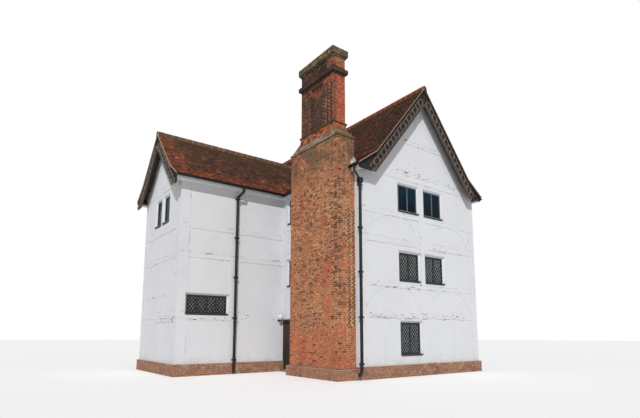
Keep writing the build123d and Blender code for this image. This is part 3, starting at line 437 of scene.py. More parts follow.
class Finish(Nodes):
    """One finish being made, with short ways to add to its tree."""

    def __init__(self, name):
        self.material = bpy.data.materials.new(name)
        self.material.use_nodes = True
        super().__init__(self.material.node_tree)
        self.place = self.node("ShaderNodeTexCoord", output="Object")
        self.base = None
        self.bumps = None

    def stretch(self, x, y, z):
        """The place with each axis scaled by itself, for grain and streaks."""
        return self.node("ShaderNodeVectorMath", {"operation": "MULTIPLY"}, {0: self.place, 1: (x, y, z)})

    def noise(self, scale, detail=4.0, rough=0.55, where=None, twist=0.0):
        return self.node(
            "ShaderNodeTexNoise", {},
            {"Vector": where or self.place, "Scale": scale, "Detail": detail, "Roughness": rough,
             "Distortion": twist})

    def grain(self, across, along, detail=6, rough=0.65, twist=0.0):
        """Noise drawn out along z, as grain in an upright piece."""
        return self.noise(1.0, detail, rough, self.stretch(across, across, along), twist)

    def cells(self, scale, feature="F1", where=None):
        return self.node(
            "ShaderNodeTexVoronoi", {"feature": feature}, {"Vector": where or self.place, "Scale": scale})

    def axis(self, name):
        return self.node("ShaderNodeSeparateXYZ", {}, {"Vector": self.place}, output=name)

    def mark(self, name):
        """A number that the mesh holds for each of its faces."""
        return self.node("ShaderNodeAttribute", {"attribute_name": name}, output="Fac")

    def mix(self, factor, first, second):
        first, second = ((*c, 1) if isinstance(c, tuple) else c for c in (first, second))
        return self.node("ShaderNodeMix", {"data_type": "RGBA"}, {0: factor, 6: first, 7: second}, output=2)

    def ramp(self, factor, stops):
        return self.node("ShaderNodeValToRGB", {"stops": stops}, {"Fac": factor})

    def bump(self, height, distance, strength=1.0):
        sockets = {"Height": height, "Distance": distance, "Strength": strength}
        if self.bumps:
            sockets["Normal"] = self.bumps
        self.bumps = self.node("ShaderNodeBump", {}, sockets)

    def coat(self, factor, colour):
        """Lays a colour over what the finish has so far."""
        self.base = self.mix(factor, self.base, colour)

    def surface(self, roughness, shine=0.15):
        """Ends the tree in one Principled shader; old dry surfaces hardly shine unless told to."""
        sockets = {"Base Color": self.base, "Roughness": roughness, "Specular IOR Level": shine}
        if self.bumps:
            sockets["Normal"] = self.bumps
        shader = self.node("ShaderNodeBsdfPrincipled", {}, sockets)
        self.node("ShaderNodeOutputMaterial", {}, {"Surface": shader})
        return self.material


def picked(context):
    """The scene's chosen colours as plain tuples."""
    colours = context.scene.house_finishes
    return {key: tuple(getattr(colours, key)) for key in colours.__annotations__}


def near_edges(level, rails, reach):
    """1 on the top and bottom edges of the rails and 0 away from them."""
    edges = [edge for top, depth in rails for edge in (top, top - depth)]
    return reduce(Link.highest, (abs(level - edge).step(reach, 0.0) for edge in edges))


def within_rails(level, rails):
    """1 inside the rails' own depth."""
    halves = [(top - depth / 2, depth / 2) for top, depth in rails]
    return reduce(Link.highest, (abs(level - z).step(half + 0.02, half - 0.02) for z, half in halves))


def below_roof(f, roof, across, middle):
    """How far a place lies below a roof's upper face."""
    h = abs(f.axis(across) - middle)
    steep = roof.ridge - h * roof.pitch
    return steep.highest(EAVES_TOP + (roof.edge - h) * KICK_PITCH) - f.axis("Z")


def splashed(f):
    """Dirt that rain throws up on the foot of a limewashed wall."""
    splash = f.axis("Z").step(PLINTH_TOP + 0.48, PLINTH_TOP) * f.noise(3.0, 5, 0.65).step(0.4, 0.72)
    f.coat(splash * 0.3, paint(160, 154, 140))


def limewash(c):
    """Many coats of limewash on lime plaster, clean but for faint streaks and a splashed foot."""
    f = Finish("limewash")
    cloud = f.noise(0.45, 5, 0.6).step(0.4, 0.75)
    streak = f.grain(5.5, 0.35, 4, 0.6).step(0.56, 0.85)
    f.base = f.mix(cloud * 0.3, c["limewash"], c["limewash_old"])
    f.coat(streak * 0.16, c["limewash_old"])
    speck = f.noise(55, 3, 0.7).step(0.62, 0.8)
    f.coat(speck * 0.1, c["bare_oak"])
    splashed(f)
    crack = f.cells(1.6, "DISTANCE_TO_EDGE", f.node(
        "ShaderNodeVectorMath", {"operation": "ADD"},
        {0: f.place, 1: f.node("ShaderNodeTexNoise", {}, {"Vector": f.place, "Scale": 3.0}, output="Color")}))
    crack = crack.step(0.012, 0.0) * f.noise(0.8, 3).step(0.52, 0.62)
    f.coat(crack * 0.3, paint(150, 150, 148))
    f.bump(f.noise(1.7, 4, 0.5), 0.05, 0.3)
    f.bump(f.noise(14, 5, 0.6), 0.012, 0.35)
    f.bump(f.noise(90, 4, 0.6) - crack * 0.8, 0.003, 0.5)
    return f.surface(0.82 + speck * 0.1)


def limewashed_oak(c, name, rails):
    """Oak frame under limewash: grain and shakes show through, and it flakes at the timbers' edges."""
    f = Finish(name)
    z = f.axis("Z")
    rail = within_rails(z, rails)
    upright = f.grain(22, 1.1, twist=0.4)
    lying = f.grain(1.1, 22, twist=0.4)
    grain = f.node("ShaderNodeMix", {"data_type": "FLOAT"}, {0: rail, 2: upright, 3: lying})
    cloud = f.noise(0.6, 5, 0.6).step(0.4, 0.75)
    f.base = f.mix(cloud * 0.4, c["limewash"], c["limewash_old"])
    f.coat(grain.step(0.5, 0.75) * 0.25, c["limewash_old"])
    shake = grain.step(0.68, 0.74) * f.noise(1.4, 3).step(0.54, 0.64)
    edges = near_edges(z, rails, 0.05) * f.noise(9, 6, 0.72).step(0.52, 0.56)
    worn = (edges * f.noise(0.9, 3).step(0.46, 0.58)).highest(f.noise(3.4, 8, 0.75).step(0.68, 0.71))
    f.coat(shake * 0.45, c["bare_oak"])
    f.coat(worn * 0.75, f.mix(grain, c["bare_oak"], paint(150, 146, 140)))
    splashed(f)
    f.bump(grain - shake - worn * 0.5, 0.012, 0.6)
    f.bump(f.noise(2.5, 4, 0.5), 0.04, 0.3)
    return f.surface(0.8 + worn * 0.08)


def spotted(f, amount, lichen):
    """Small spots of lichen, gathered in places."""
    f.coat(f.noise(26, 5, 0.75).step(0.63, 0.72) * f.noise(1.6, 3).step(0.42, 0.6) * amount, lichen)


def dark_oak(c):
    """Old weathered oak boards, silvered where the grain stands up."""
    f = Finish("dark_oak")
    grain = f.grain(24, 1.2, 7, 0.68, 0.6)
    fine = f.grain(96, 4.8, 5, 0.7)
    f.base = f.mix(grain.step(0.38, 0.68), c["dark_oak"], c["silver_oak"])
    f.coat(1 - f.noise(0.8, 4, 0.6).step(0.35, 0.85), c["dark_oak"])
    spotted(f, 0.45, c["lichen"])
    check = grain.step(0.3, 0.24)
    f.coat(check * 0.8, paint(28, 24, 21))
    f.bump(grain - check, 0.010, 0.7)
    f.bump(fine, 0.003, 0.5)
    return f.surface(0.74 + grain * 0.16)


def barge_oak(c, name, roof, across, middle, depth):
    """Bargeboards: painted shadow under the verge, with a paler moulding along the lower edge."""
    f = Finish(name)
    grain = f.grain(20, 20, 7, 0.68, 0.6)
    drop = below_roof(f, roof, across, middle) - VERGE_DEPTH
    f.base = f.mix(grain.step(0.38, 0.68), paint(28, 25, 24), paint(62, 56, 51))
    # Painted shadow: the band of board just under the verge is darkened.
    f.coat(drop.step(0.16, 0.1) * 0.85, paint(24, 21, 20))
    f.coat(drop.step(depth - 0.1, depth - 0.07) * 0.7, paint(100, 88, 86))
    spotted(f, 0.4, c["lichen"])
    f.bump(grain, 0.010, 0.7)
    return f.surface(0.85)


def carved_oak(c):
    """Carving silvered by the weather, paler than the boards behind it."""
    f = Finish("carved_oak")
    grain = f.grain(18, 18, 6, 0.68, 0.6)
    f.base = f.mix(grain.step(0.35, 0.65), c["silver_oak"], paint(132, 124, 115))
    f.coat(f.noise(2.2, 4).step(0.5, 0.7) * 0.5, c["dark_oak"])
    f.bump(grain, 0.006, 0.6)
    return f.surface(0.8)


def window_oak(c):
    """Dark weathered joinery, paler and painted grey on the top floor."""
    f = Finish("window_oak")
    grain = f.grain(40, 2.0, twist=0.4)
    painted = f.axis("Z").step(LEADED_BELOW - 0.1, LEADED_BELOW + 0.3)
    f.base = f.mix(painted, c["frame_oak"], paint(92, 95, 96))
    f.coat(grain.step(0.4, 0.7) * 0.3, paint(90, 90, 88))
    worn = f.noise(7, 6, 0.7).step(0.5, 0.64)
    f.coat(worn * 0.45, c["dark_oak"])
    f.bump(grain + worn * 0.4, 0.004, 0.6)
    return f.surface(0.62 + worn * 0.2)


def masonry(c):
    """Lime mortar between the bricks, with weathered coping where the stack steps in."""
    f = Finish("lime_mortar")
    z = f.axis("Z")
    f.base = f.mix(f.noise(1.1, 5, 0.6).step(0.35, 0.7), c["mortar"], paint(146, 122, 98))
    f.coat(f.noise(24, 5, 0.7).step(0.55, 0.75) * 0.6, paint(108, 90, 74))
    coping = z.step(STACK_TOP - 0.02, STACK_TOP) * z.step(WEATHER_TOP, WEATHER_TOP - 0.02)
    pale = f.mix(f.noise(5, 6, 0.7).step(0.4, 0.66), paint(152, 136, 118), paint(92, 82, 70))
    olive = f.mix(f.noise(7, 6, 0.7).step(0.4, 0.66), paint(92, 80, 58), paint(132, 84, 66))
    high = z.step(COPING_TOP - 0.03, COPING_TOP + 0.03)
    end = f.axis("Y").step(NEAR + STACK_NEAR + 0.16, NEAR + STACK_NEAR + 0.02)
    f.coat(coping, f.mix(high.highest(end), pale, olive))
    soot = z.step(WEATHER_TOP - 0.02, WEATHER_TOP)
    f.coat(soot * 0.75, paint(74, 54, 44))
    ledge = z.step(SHAFT_BASE - 0.06, SHAFT_BASE - 0.05) * z.step(SHAFT_BASE + 0.01, SHAFT_BASE)
    f.coat(ledge * 0.8, paint(58, 54, 36))
    f.coat(z.step(DENTIL_LOW - 0.02, DENTIL_LOW) * 0.8, paint(48, 42, 34))
    green = z.step(PLINTH_TOP + 0.03, 0.1) * f.noise(4, 5, 0.65).step(0.42, 0.66)
    f.coat(green * 0.4, c["moss"])
    f.bump(f.noise(60, 6, 0.7), 0.004, 0.7)
    f.bump(f.noise(9, 4, 0.6), 0.012, 0.5)
    return f.surface(0.92)


def brickwork(c):
    """Hand made bricks, each with its own firing, soot towards the top and red repairs low down."""
    f = Finish("old_brick")
    z = f.axis("Z")
    fired = f.mark("tone")
    red = f.mark("hue")
    body = f.ramp(fired, [(0.0, paint(44, 36, 32)), (0.2, c["brick_dark"]), (0.4, paint(140, 88, 62)),
                          (0.62, c["brick_buff"]), (0.82, paint(194, 140, 98)), (1.0, paint(214, 174, 130))])
    f.base = f.mix(red, body, f.mix(fired.step(0.1, 0.7), paint(112, 54, 42), c["brick_red"]))
    f.coat(f.noise(17, 4, 0.7).step(0.5, 0.58) * 0.7, paint(86, 54, 38))
    fleck = f.noise(19, 4, 0.7, twist=0.5).step(0.54, 0.62) * fired.step(0.1, 0.5)
    f.coat(fleck * (0.75 - red * 0.4), paint(226, 184, 138))
    stain = f.grain(1.6, 0.5, 5, 0.6).step(0.56, 0.76)
    f.coat(stain * 0.45, paint(90, 74, 54))
    warm = f.grain(1.3, 0.8, 4, 0.6).step(0.52, 0.66) * z.step(STACK_TOP, STACK_TOP - 0.73)
    f.coat(warm * 0.3, paint(206, 112, 70))
    grime = z.step(*GRIME_RISE) * z.step(COPING_TOP + 0.03, COPING_TOP - 0.17)
    f.coat(grime * f.noise(1.4, 4, 0.6).step(0.38, 0.6) * 0.85, paint(76, 64, 44))
    sheltered = LEFT - SHAFT_OUT + RECESS_DEEP
    soot = z.step(WEATHER_TOP, SHAFT_BASE + 0.3) * f.axis("X").step(sheltered + 0.05, sheltered + 0.02)
    soot = soot * f.noise(1.8, 4, 0.6).step(0.3, 0.6)
    f.coat(soot * 0.5, paint(50, 44, 46))
    f.coat(soot * z.step(BAND_TOP, BAND_TOP + 0.1) * 0.5, paint(36, 30, 28))
    spots = f.noise(11, 6, 0.75).step(0.6, 0.68) * z.step(*LICHEN_RISE)
    f.coat(spots * 0.6, c["lichen"])
    foot = z.step(PLINTH_TOP + 0.05, PLINTH_TOP - 0.01)
    f.coat(foot * 0.6, paint(126, 98, 86))
    bloom = foot * f.noise(6, 5, 0.65).step(0.52, 0.66)
    f.coat(bloom * 0.5, paint(184, 170, 156))
    f.bump(f.noise(40, 6, 0.72), 0.006, 0.8)
    f.bump(f.cells(120), 0.002, 0.4)
    return f.surface(0.9)


def clay_tiles(c):
    """Plain clay tiles, brown with age, with lichen, moss in the laps and redder newer ones."""
    f = Finish("clay_tiles")
    age = f.mark("tone")
    crust = f.mark("hue")
    body = f.ramp(age, [(0.0, paint(38, 29, 28)), (0.3, c["tile_brown"]), (0.5, paint(108, 68, 52)),
                        (0.72, c["tile_red"]), (0.88, paint(180, 104, 72)), (1.0, paint(192, 140, 102))])
    f.base = f.mix(f.noise(17, 4, 0.7).step(0.46, 0.56) * 0.5, body, paint(50, 37, 34))
    fleck = f.noise(21, 4, 0.75, twist=0.4).step(0.55, 0.62)
    f.coat(fleck * 0.45, f.mix(age, paint(134, 104, 74), paint(196, 116, 82)))
    grey = f.noise(34, 6, 0.75).step(0.55, 0.68)
    f.coat(crust * 0.45, paint(82, 66, 46))
    f.coat(grey * (0.08 + crust * 0.6), c["lichen"])
    f.coat(f.noise(6, 6, 0.7).step(0.6, 0.7) * crust, c["moss"])
    f.bump(f.noise(50, 6, 0.7), 0.004, 0.8)
    f.bump(f.noise(160, 3, 0.6) + grey * 0.8, 0.002, 0.6)
    return f.surface(0.88)


def roof_deck():
    """Battens and undercloak that show past the tiles, and the paler mortar of the verges."""
    f = Finish("roof_deck")
    x, y = f.axis("X"), f.axis("Y")
    f.base = f.mix(f.noise(7, 5, 0.65).step(0.4, 0.68), paint(84, 72, 64), paint(54, 46, 42))
    wing = x.step(VERGE_WING + 0.05, VERGE_WING + 0.03)
    ends = y.step(VERGE_NEAR + 0.05, VERGE_NEAR + 0.03).highest(y.step(VERGE_FAR - 0.05, VERGE_FAR - 0.03))
    ends = ends * below_roof(f, RANGE_ROOF, "X", RIDGE_X).step(0.045, 0.03)
    mortar = f.mix(x.step(RIDGE_X - 0.02, RIDGE_X + 0.02), paint(142, 126, 112), paint(138, 80, 58))
    f.coat(ends, mortar)
    f.coat(wing * 0.85, paint(174, 154, 128))
    f.coat(f.noise(40, 4, 0.7).step(0.58, 0.75) * 0.3, paint(56, 46, 42))
    f.bump(f.noise(45, 6, 0.7), 0.006, 0.8)
    return f.surface(0.93)


def painted_iron(c):
    """Black paint on cast iron, dulled, chipped and rusting at the joints."""
    f = Finish("painted_iron")
    chips = f.noise(18, 6, 0.72).step(0.62, 0.69)
    f.base = f.mix(f.noise(2.4, 4).step(0.4, 0.7) * 0.6, c["iron"], paint(36, 36, 39))
    f.coat(chips * 0.5, c["rust"])
    f.bump(f.noise(70, 4, 0.6) + chips, 0.0015, 0.6)
    return f.surface(0.42 + chips * 0.4, shine=0.25)


def lead(c, name="lead", bloom=0.0):
    """Dull lead with a paler bloom, strongest on the windows' cames."""
    f = Finish(name)
    f.base = f.mix(bloom, c["lead"], paint(206, 210, 210))
    f.coat(f.noise(22, 5, 0.7).step(0.4, 0.7), paint(104, 108, 110))
    f.bump(f.noise(60, 4, 0.6), 0.001, 0.6)
    return f.surface(0.6)


def old_glass(c):
    """Small hand made quarries: painted shade of the dark rooms behind, ripples, a soft shine and pale
    painted sheen.
    """
    f = Finish("old_glass")
    tint = f.mark("tone")
    # Painted shade: the quarries are dark for the unlit rooms behind them.
    f.base = f.mix(tint, paint(10, 12, 13), c["glass"])
    # Painted sheen: pale clouds over the quarries.
    f.coat(f.noise(1.6, 3).step(0.5, 0.75) * tint * 0.25, paint(74, 82, 86))
    f.bump(f.noise(9, 2, 0.4), 0.004, 0.25)
    return f.surface(0.12, shine=0.12)


def blue_glass(c):
    """Plain upper panes: a painted reflection of the sky, lighter on the higher panes, with darker patches.
    """
    f = Finish("blue_glass")
    # Painted reflection of the sky, brighter on the higher panes.
    f.base = f.mix(f.axis("Z").step(*TOP_LIGHTS), c["glass_blue"], paint(4, 36, 54))
    f.coat(f.noise(1.3, 3).step(0.45, 0.65) * 0.6, paint(4, 12, 18))
    f.bump(f.noise(5, 2, 0.4), 0.004, 0.15)
    return f.surface(0.08, shine=0.05)


def stonework(c, name="worn_stone", shade=0.0):
    """Worn grey stone and flaunching with lichen; shade darkens it for the sooty cap."""
    f = Finish(name)
    f.base = f.mix(f.noise(3, 6, 0.65).step(0.35, 0.7), c["stone"], paint(92, 86, 78))
    f.coat(shade, paint(46, 42, 36))
    f.coat(f.noise(12, 6, 0.75).step(0.54, 0.62) * 0.75, c["lichen"])
    f.coat(f.noise(9, 6, 0.7, twist=0.5).step(0.58, 0.66) * 0.7, c["moss"])
    crust = f.noise(5, 5, 0.7, twist=0.3).step(0.52, 0.6) * shade
    f.coat(crust * 0.8, paint(176, 128, 64))
    f.bump(f.noise(16, 7, 0.7), 0.02, 0.7)
    f.bump(f.noise(90, 4, 0.7), 0.004, 0.6)
    return f.surface(0.92)


def floor_boards(c):
    """Wide oak boards indoors."""
    f = Finish("floor_boards")
    grain = f.noise(1.0, 6, 0.65, f.stretch(30, 1.5, 30), 0.5)
    f.base = f.mix(grain.step(0.35, 0.7), c["boards"], paint(96, 70, 48))
    f.bump(grain, 0.004, 0.5)
    return f.surface(0.6)


def opal_glass():
    """Opal glass globe, a little dusty in patches."""
    f = Finish("opal_glass")
    dust = f.noise(14, 4, 0.6).step(0.45, 0.7)
    f.base = f.mix(dust * 0.4, paint(206, 206, 202), paint(160, 160, 156))
    f.bump(f.noise(6, 2), 0.002, 0.2)
    return f.surface(0.18 + dust * 0.25)


def ridge_clay(name, age=1.0):
    """Half round ridge tiles: painted highlight on the range's orange crowns and painted shade below them,
    brown under lichen on the wing.
    """
    f = Finish(name)
    tone = f.mark("tone")
    # The bright orange is partly the tiles' clay and partly a painted highlight of their lit crowns.
    f.base = f.mix(tone, paint(226, 126, 78), paint(240, 158, 104))
    # Painted shade: the range's ridge tiles are darker below their crowns.
    f.coat(f.axis("Z").step(RANGE_RIDGE + 0.05, RANGE_RIDGE), paint(104, 58, 44))
    f.coat(age, f.mix(tone, paint(72, 52, 44), paint(112, 76, 58)))
    grown = 0.12 + 0.75 * age
    f.coat(f.noise(9, 6, 0.72).step(0.5, 0.66) * grown, paint(96, 80, 56))
    f.coat(f.noise(26, 6, 0.75).step(0.56, 0.66) * grown, paint(176, 158, 92))
    f.bump(f.noise(36, 6, 0.7), 0.005, 0.8)
    return f.surface(0.9)


def bed_mortar():
    """Pale bedding mortar and flashing fillets."""
    f = Finish("bed_mortar")
    f.base = f.mix(f.noise(8, 6, 0.65).step(0.35, 0.7), paint(204, 202, 196), paint(150, 146, 136))
    f.bump(f.noise(40, 6, 0.7), 0.006, 0.8)
    return f.surface(0.93)


def bare_flake():
    """Grey oak where the limewash has gone, with painted shadow in the darker flakes."""
    f = Finish("bare_flake")
    tint = f.mark("tone")
    # Painted shadow at the dark end of the ramp, bare oak at the pale end.
    f.base = f.ramp(tint, [(0.0, paint(56, 52, 48)), (0.5, paint(92, 87, 81)), (1.0, paint(150, 146, 140))])
    f.bump(f.noise(120, 4, 0.7), 0.002, 0.8)
    return f.surface(0.9)


# Shapes

class Pile:
    """Many small things gathered into one mesh, with two numbers for each face."""

    def __init__(self):
        self.corners = []
        self.faces = []
        self.tones = []
        self.hues = []

    def add(self, corners, faces, tone=0.5, hue=0.0):
        base = len(self.corners)
        self.corners.extend(corners)
        self.faces.extend(tuple(base + i for i in face) for face in faces)
        self.tones.extend([tone] * len(faces))
        self.hues.extend([hue] * len(faces))

    def loft(self, rings, closed=True, caps=True, tone=0.5, hue=0.0):
        """Skins a row of rings that have as many points each."""
        count = len(rings[0])
        corners = [point for ring in rings for point in ring]
        span = count if closed else count - 1
        faces = []
        for i in range(len(rings) - 1):
            for j in range(span):
                k = (j + 1) % count
                faces.append((i * count + j, i * count + k, (i + 1) * count + k, (i + 1) * count + j))
        if caps:
            faces.append(tuple(range(count - 1, -1, -1)))
            faces.append(tuple((len(rings) - 1) * count + j for j in range(count)))
        self.add(corners, faces, tone, hue)

    def shape(self, name, material):
        """Turns the pile into one object."""
        mesh = bpy.data.meshes.new(name)
        mesh.from_pydata(self.corners, [], self.faces)
        for key, values in (("tone", self.tones), ("hue", self.hues)):
            mesh.attributes.new(key, "FLOAT", "FACE").data.foreach_set("value", values)
        mesh.materials.append(material)
        mesh.validate()
        mesh.update()
        piece = bpy.data.objects.new(name, mesh)
        bpy.context.scene.collection.objects.link(piece)
        return piece

    def make(self, name, material, slot, body="house"):
        """Turns the pile into one object that rides on a body."""
        piece = self.shape(name, material)
        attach(piece, body)
        return piece


class Side:
    """A wall's outer face: s runs to the right as seen outdoors, z up and d outdoors."""

    def __init__(self, x, y, out, base=0.0, lean=0.0):
        self.start = Vector((x, y, 0))
        self.out = Vector(out)
        self.across = Vector((-self.out.y, self.out.x, 0))
        self.base = base
        self.lean = lean

    def at(self, s, z, d=0.0):
        back = (z - self.base) * self.lean
        return self.start + self.across * s + self.out * (d - back) + Vector((0, 0, z))


SIDES = {
    "front": Side(LEFT, NEAR, TO_FRONT),
    "right": Side(RIGHT, NEAR, TO_RIGHT),
    "back": Side(RIGHT, FAR, TO_BACK),
    "wing_front": Side(WING_END, WING_NEAR, TO_FRONT),
    "wing_gable": Side(WING_END, WING_FAR, TO_LEFT),
    "wing_back": Side(LEFT, WING_FAR, TO_BACK),
}


class Roof:
    """A gabled roof's section: distance from the ridge line against height."""

    def __init__(self, half, ridge, kick, eaves_out):
        self.half = half
        self.ridge = ridge
        self.kick = half - kick
        self.edge = half + eaves_out
        self.kick_z = EAVES_TOP + (self.edge - self.kick) * KICK_PITCH
        self.pitch = (ridge - self.kick_z) / self.kick
        self.upper = math.hypot(self.kick, ridge - self.kick_z)
        self.lower = math.hypot(self.edge - self.kick, self.kick_z - EAVES_TOP)
        self.length = self.upper + self.lower

    def height(self, h):
        if abs(h) < self.kick:
            return self.ridge - abs(h) * self.pitch
        return EAVES_TOP + (self.edge - abs(h)) * KICK_PITCH

    def down(self, distance, lift):
        """A place down the slope from the ridge, lifted square off it: (distance out, height)."""
        if distance < self.upper:
            run = Vector((self.kick, self.kick_z - self.ridge)).normalized()
            start, rest = Vector((0, self.ridge)), distance
        else:
            run = Vector((self.edge - self.kick, EAVES_TOP - self.kick_z)).normalized()
            start, rest = Vector((self.kick, self.kick_z)), distance - self.upper
        return start + run * rest + Vector((-run.y, run.x)) * lift

    def barge(self, h, drop):
        """Height on a bargeboard's face, a drop below its upper edge."""
        return self.ridge - VERGE_DEPTH - abs(h) * self.pitch - drop


RANGE_ROOF = Roof((RIGHT - LEFT) / 2, RANGE_RIDGE, RANGE_KICK, EAVES_OUT)
WING_ROOF = Roof((WING_FAR - WING_NEAR) / 2, WING_RIDGE, WING_KICK, WING_EAVES_OUT)


class Slope:
    """One slope laid out by distance along the ridge and distance down from it."""

    def __init__(self, roof, side, along_x):
        self.roof = roof
        self.side = side
        self.along_x = along_x

    def at(self, along, distance, lift=0.0):
        h, z = self.roof.down(distance, lift)
        return over_ridge(along, self.side * h, z, self.along_x)


def over_ridge(along, h, z, along_x):
    """A place at a distance h beside one of the ridge lines."""
    return Vector((along, RIDGE_Y + h, z)) if along_x else Vector((RIDGE_X + h, along, z))


def under_range(point):
    """True below the range's left slope, where the wing's roof has run in."""
    return point.z < RANGE_ROOF.height(point.x - RIDGE_X) - 0.03 or point.x > RIDGE_X


def under_wing(point):
    """True where the range's left slope is covered by the wing, or cut away round the stack."""
    if point.x < LEFT and STACK_NEAR - 0.08 < point.y - NEAR < STACK_FAR + 0.02:
        return True
    inside = abs(point.y - RIDGE_Y) < WING_ROOF.edge and point.x < RIDGE_X
    return inside and point.z < WING_ROOF.height(point.y - RIDGE_Y) - 0.03


def lay_tile(pile, slope, along, low, t, rng, tone, hue):
    """One cambered tile, thicker at its lower edge where it rests on the course below."""
    width = t.width - t.gap
    top = max(0.0, low - t.gauge - t.lap)
    slip = rng.uniform(-1, 1) * t.unevenness
    tip = rng.uniform(-1, 1) * t.unevenness * 0.6
    low = min(low + slip, slope.roof.length + DRIP + 0.005)
    upper, under = [], []
    for i, (share_across, rise) in enumerate(((0.0, 0.0), (0.5, t.camber), (1.0, 0.0))):
        place = along + share_across * width
        lift = 2.1 * t.thickness + rise + (i - 1) * tip
        upper.append(slope.at(place, low, lift))
        under.append(slope.at(place, low, lift - t.thickness))
        upper.append(slope.at(place, top, t.thickness * 0.7 + rise))
    corners = upper + under + [slope.at(along, top, 0), slope.at(along + width, top, 0)]
    faces = [(0, 2, 3, 1), (2, 4, 5, 3), (6, 7, 2, 0), (7, 8, 4, 2), (6, 0, 1, 9), (8, 10, 5, 4)]
    pile.add(corners, faces, tone, hue)


def lay_slope(name, slope, start, end, hidden, look, seed, material, t):
    """Courses of tiles over one slope, broken in bond and left out where another roof covers them."""
    rng = random.Random(seed)
    pile = Pile()
    courses = int(slope.roof.length / t.gauge)
    for i in range(courses):
        low = slope.roof.length + DRIP - i * t.gauge
        along = start - (0.5 * t.width if i % 2 else 0.0)
        while along < end - 0.3 * t.width:
            place = max(along, start)
            middle = slope.at(place + t.width / 2, low - t.gauge / 2)
            if not hidden(middle):
                tone, crust = look(middle, 1 - i / courses)
                tone += rng.gauss(0, t.spread)
                crust += rng.uniform(-0.2, 0.2)
                lay_tile(pile, slope, place, low, t, rng, clamp(tone), clamp(crust))
            along += t.width
    pile.make(name, material, "clay_tile")


def range_look(place, down):
    """Dark brown, redder in drifts and at the eaves, with yellow lichen under the ridge."""
    tone = 0.3 + 0.2 * drift(place, 0.55, 1.0) + 0.12 * drift(place, 2.6, 2.0) + 0.14 * ease(down, 0.6, 1.0)
    return tone, 0.12 + 0.3 * drift(place, 0.9, 4.0) + 0.7 * ease(down, 0.22, 0.0)


def wing_look(place, down):
    """Red towards the eaves and the verge, brown towards the valley, lichen near the ridge."""
    red = ease(down + 0.22 * drift(place, 0.8, 3.0), 0.42, 0.95)
    verge = ease(WING_END + 1.3 - place.x + 0.8 * drift(place, 0.9, 7.0), 0.0, 1.6)
    crust = ease(0.6 - down + 0.25 * drift(place, 0.9, 4.0), 0.0, 0.5)
    return 0.3 + 0.38 * max(red, 0.8 * verge) + 0.14 * drift(place, 1.9, 2.0), crust


class Bricklayer:
    """Lays the faces of bricks into one pile."""

    def __init__(self, bricks, rng):
        self.b = bricks
        self.rng = rng
        self.pile = Pile()

    def brick(self, side, s0, s1, z0, z1, tone, hue):
        """One brick's face with worn edges, a little proud of its mortar."""
        proud = self.b.proud + self.rng.uniform(-0.002, 0.002)
        worn = self.b.worn * self.rng.uniform(0.7, 1.4)
        shift = self.rng.uniform(-0.0015, 0.0015)
        rings = []
        for inset, depth in ((0, -0.004), (0, proud - worn * 0.6), (worn, proud)):
            a, c, low, high = s0 + inset, s1 - inset, z0 + shift + inset, z1 + shift - inset
            rings.append([side.at(s, z, depth) for s, z in ((a, low), (c, low), (c, high), (a, high))])
        corners = [point for ring in rings for point in ring]
        faces = [(8, 9, 10, 11)]
        for base in (0, 4):
            faces += [(base + i, base + (i + 1) % 4, base + 4 + (i + 1) % 4, base + 4 + i) for i in range(4)]
        self.pile.add(corners, faces, tone, hue)

    def wall(self, side, s0, s1, z0, z1, look, header_first=True, stretchers=True):
        """English bond over a rectangle of a face: courses of headers and stretchers in turn."""
        b = self.b
        courses = max(1, round((z1 - z0) / b.course))
        height = (z1 - z0) / courses
        for i in range(courses):
            low = z0 + i * height
            header = (i % 2 == 0) == header_first or not stretchers
            unit = b.stretcher / 2 if header else b.stretcher
            s = s0 - (b.stretcher / 4 if header and (stretchers or i % 2) else 0.0)
            while s < s1 - 0.03:
                left, right = max(s, s0), min(s + unit, s1)
                if right - left > LEAST_CUT:
                    middle = side.at((left + right) / 2, low + height / 2)
                    tone, hue = (clamp(value) for value in look(middle, header, self.rng))
                    half = b.joint / 2
                    self.brick(side, left + (half if left > s0 else 0), right - (half if right < s1 else 0),
                               low + half, low + height - half, tone, hue)
                s += unit

    def block(self, x0, x1, y0, y1, z0, z1, look, back=True):
        """Bricks on the free sides of a masonry block, with corners closed."""
        p = self.b.proud * 0.6
        self.wall(Side(x0, y1 + p, TO_LEFT), 0, y1 - y0 + 2 * p, z0, z1, look)
        self.wall(Side(x0, y0, TO_FRONT), 0, x1 - x0, z0, z1, look, False)
        self.wall(Side(x1, y1, TO_BACK), 0, x1 - x0, z0, z1, look, False)
        if back:
            self.wall(Side(x1, y0 - p, TO_RIGHT), 0, y1 - y0 + 2 * p, z0, z1, look)


def inside(s, z, zone, blur=0.0):
    """True where a place lies in a zone, given as from, to, lowest and highest."""
    s0, s1, z0, z1 = zone
    return s0 - blur < s < s1 + blur and z0 - blur < z < z1 + blur


def chequer(place, course=0.075, header=0.114):
    """True on every other header of a face, staggered from course to course."""
    return (int((place.x + place.y + 50) / header) + int(place.z / course)) % 2 == 0


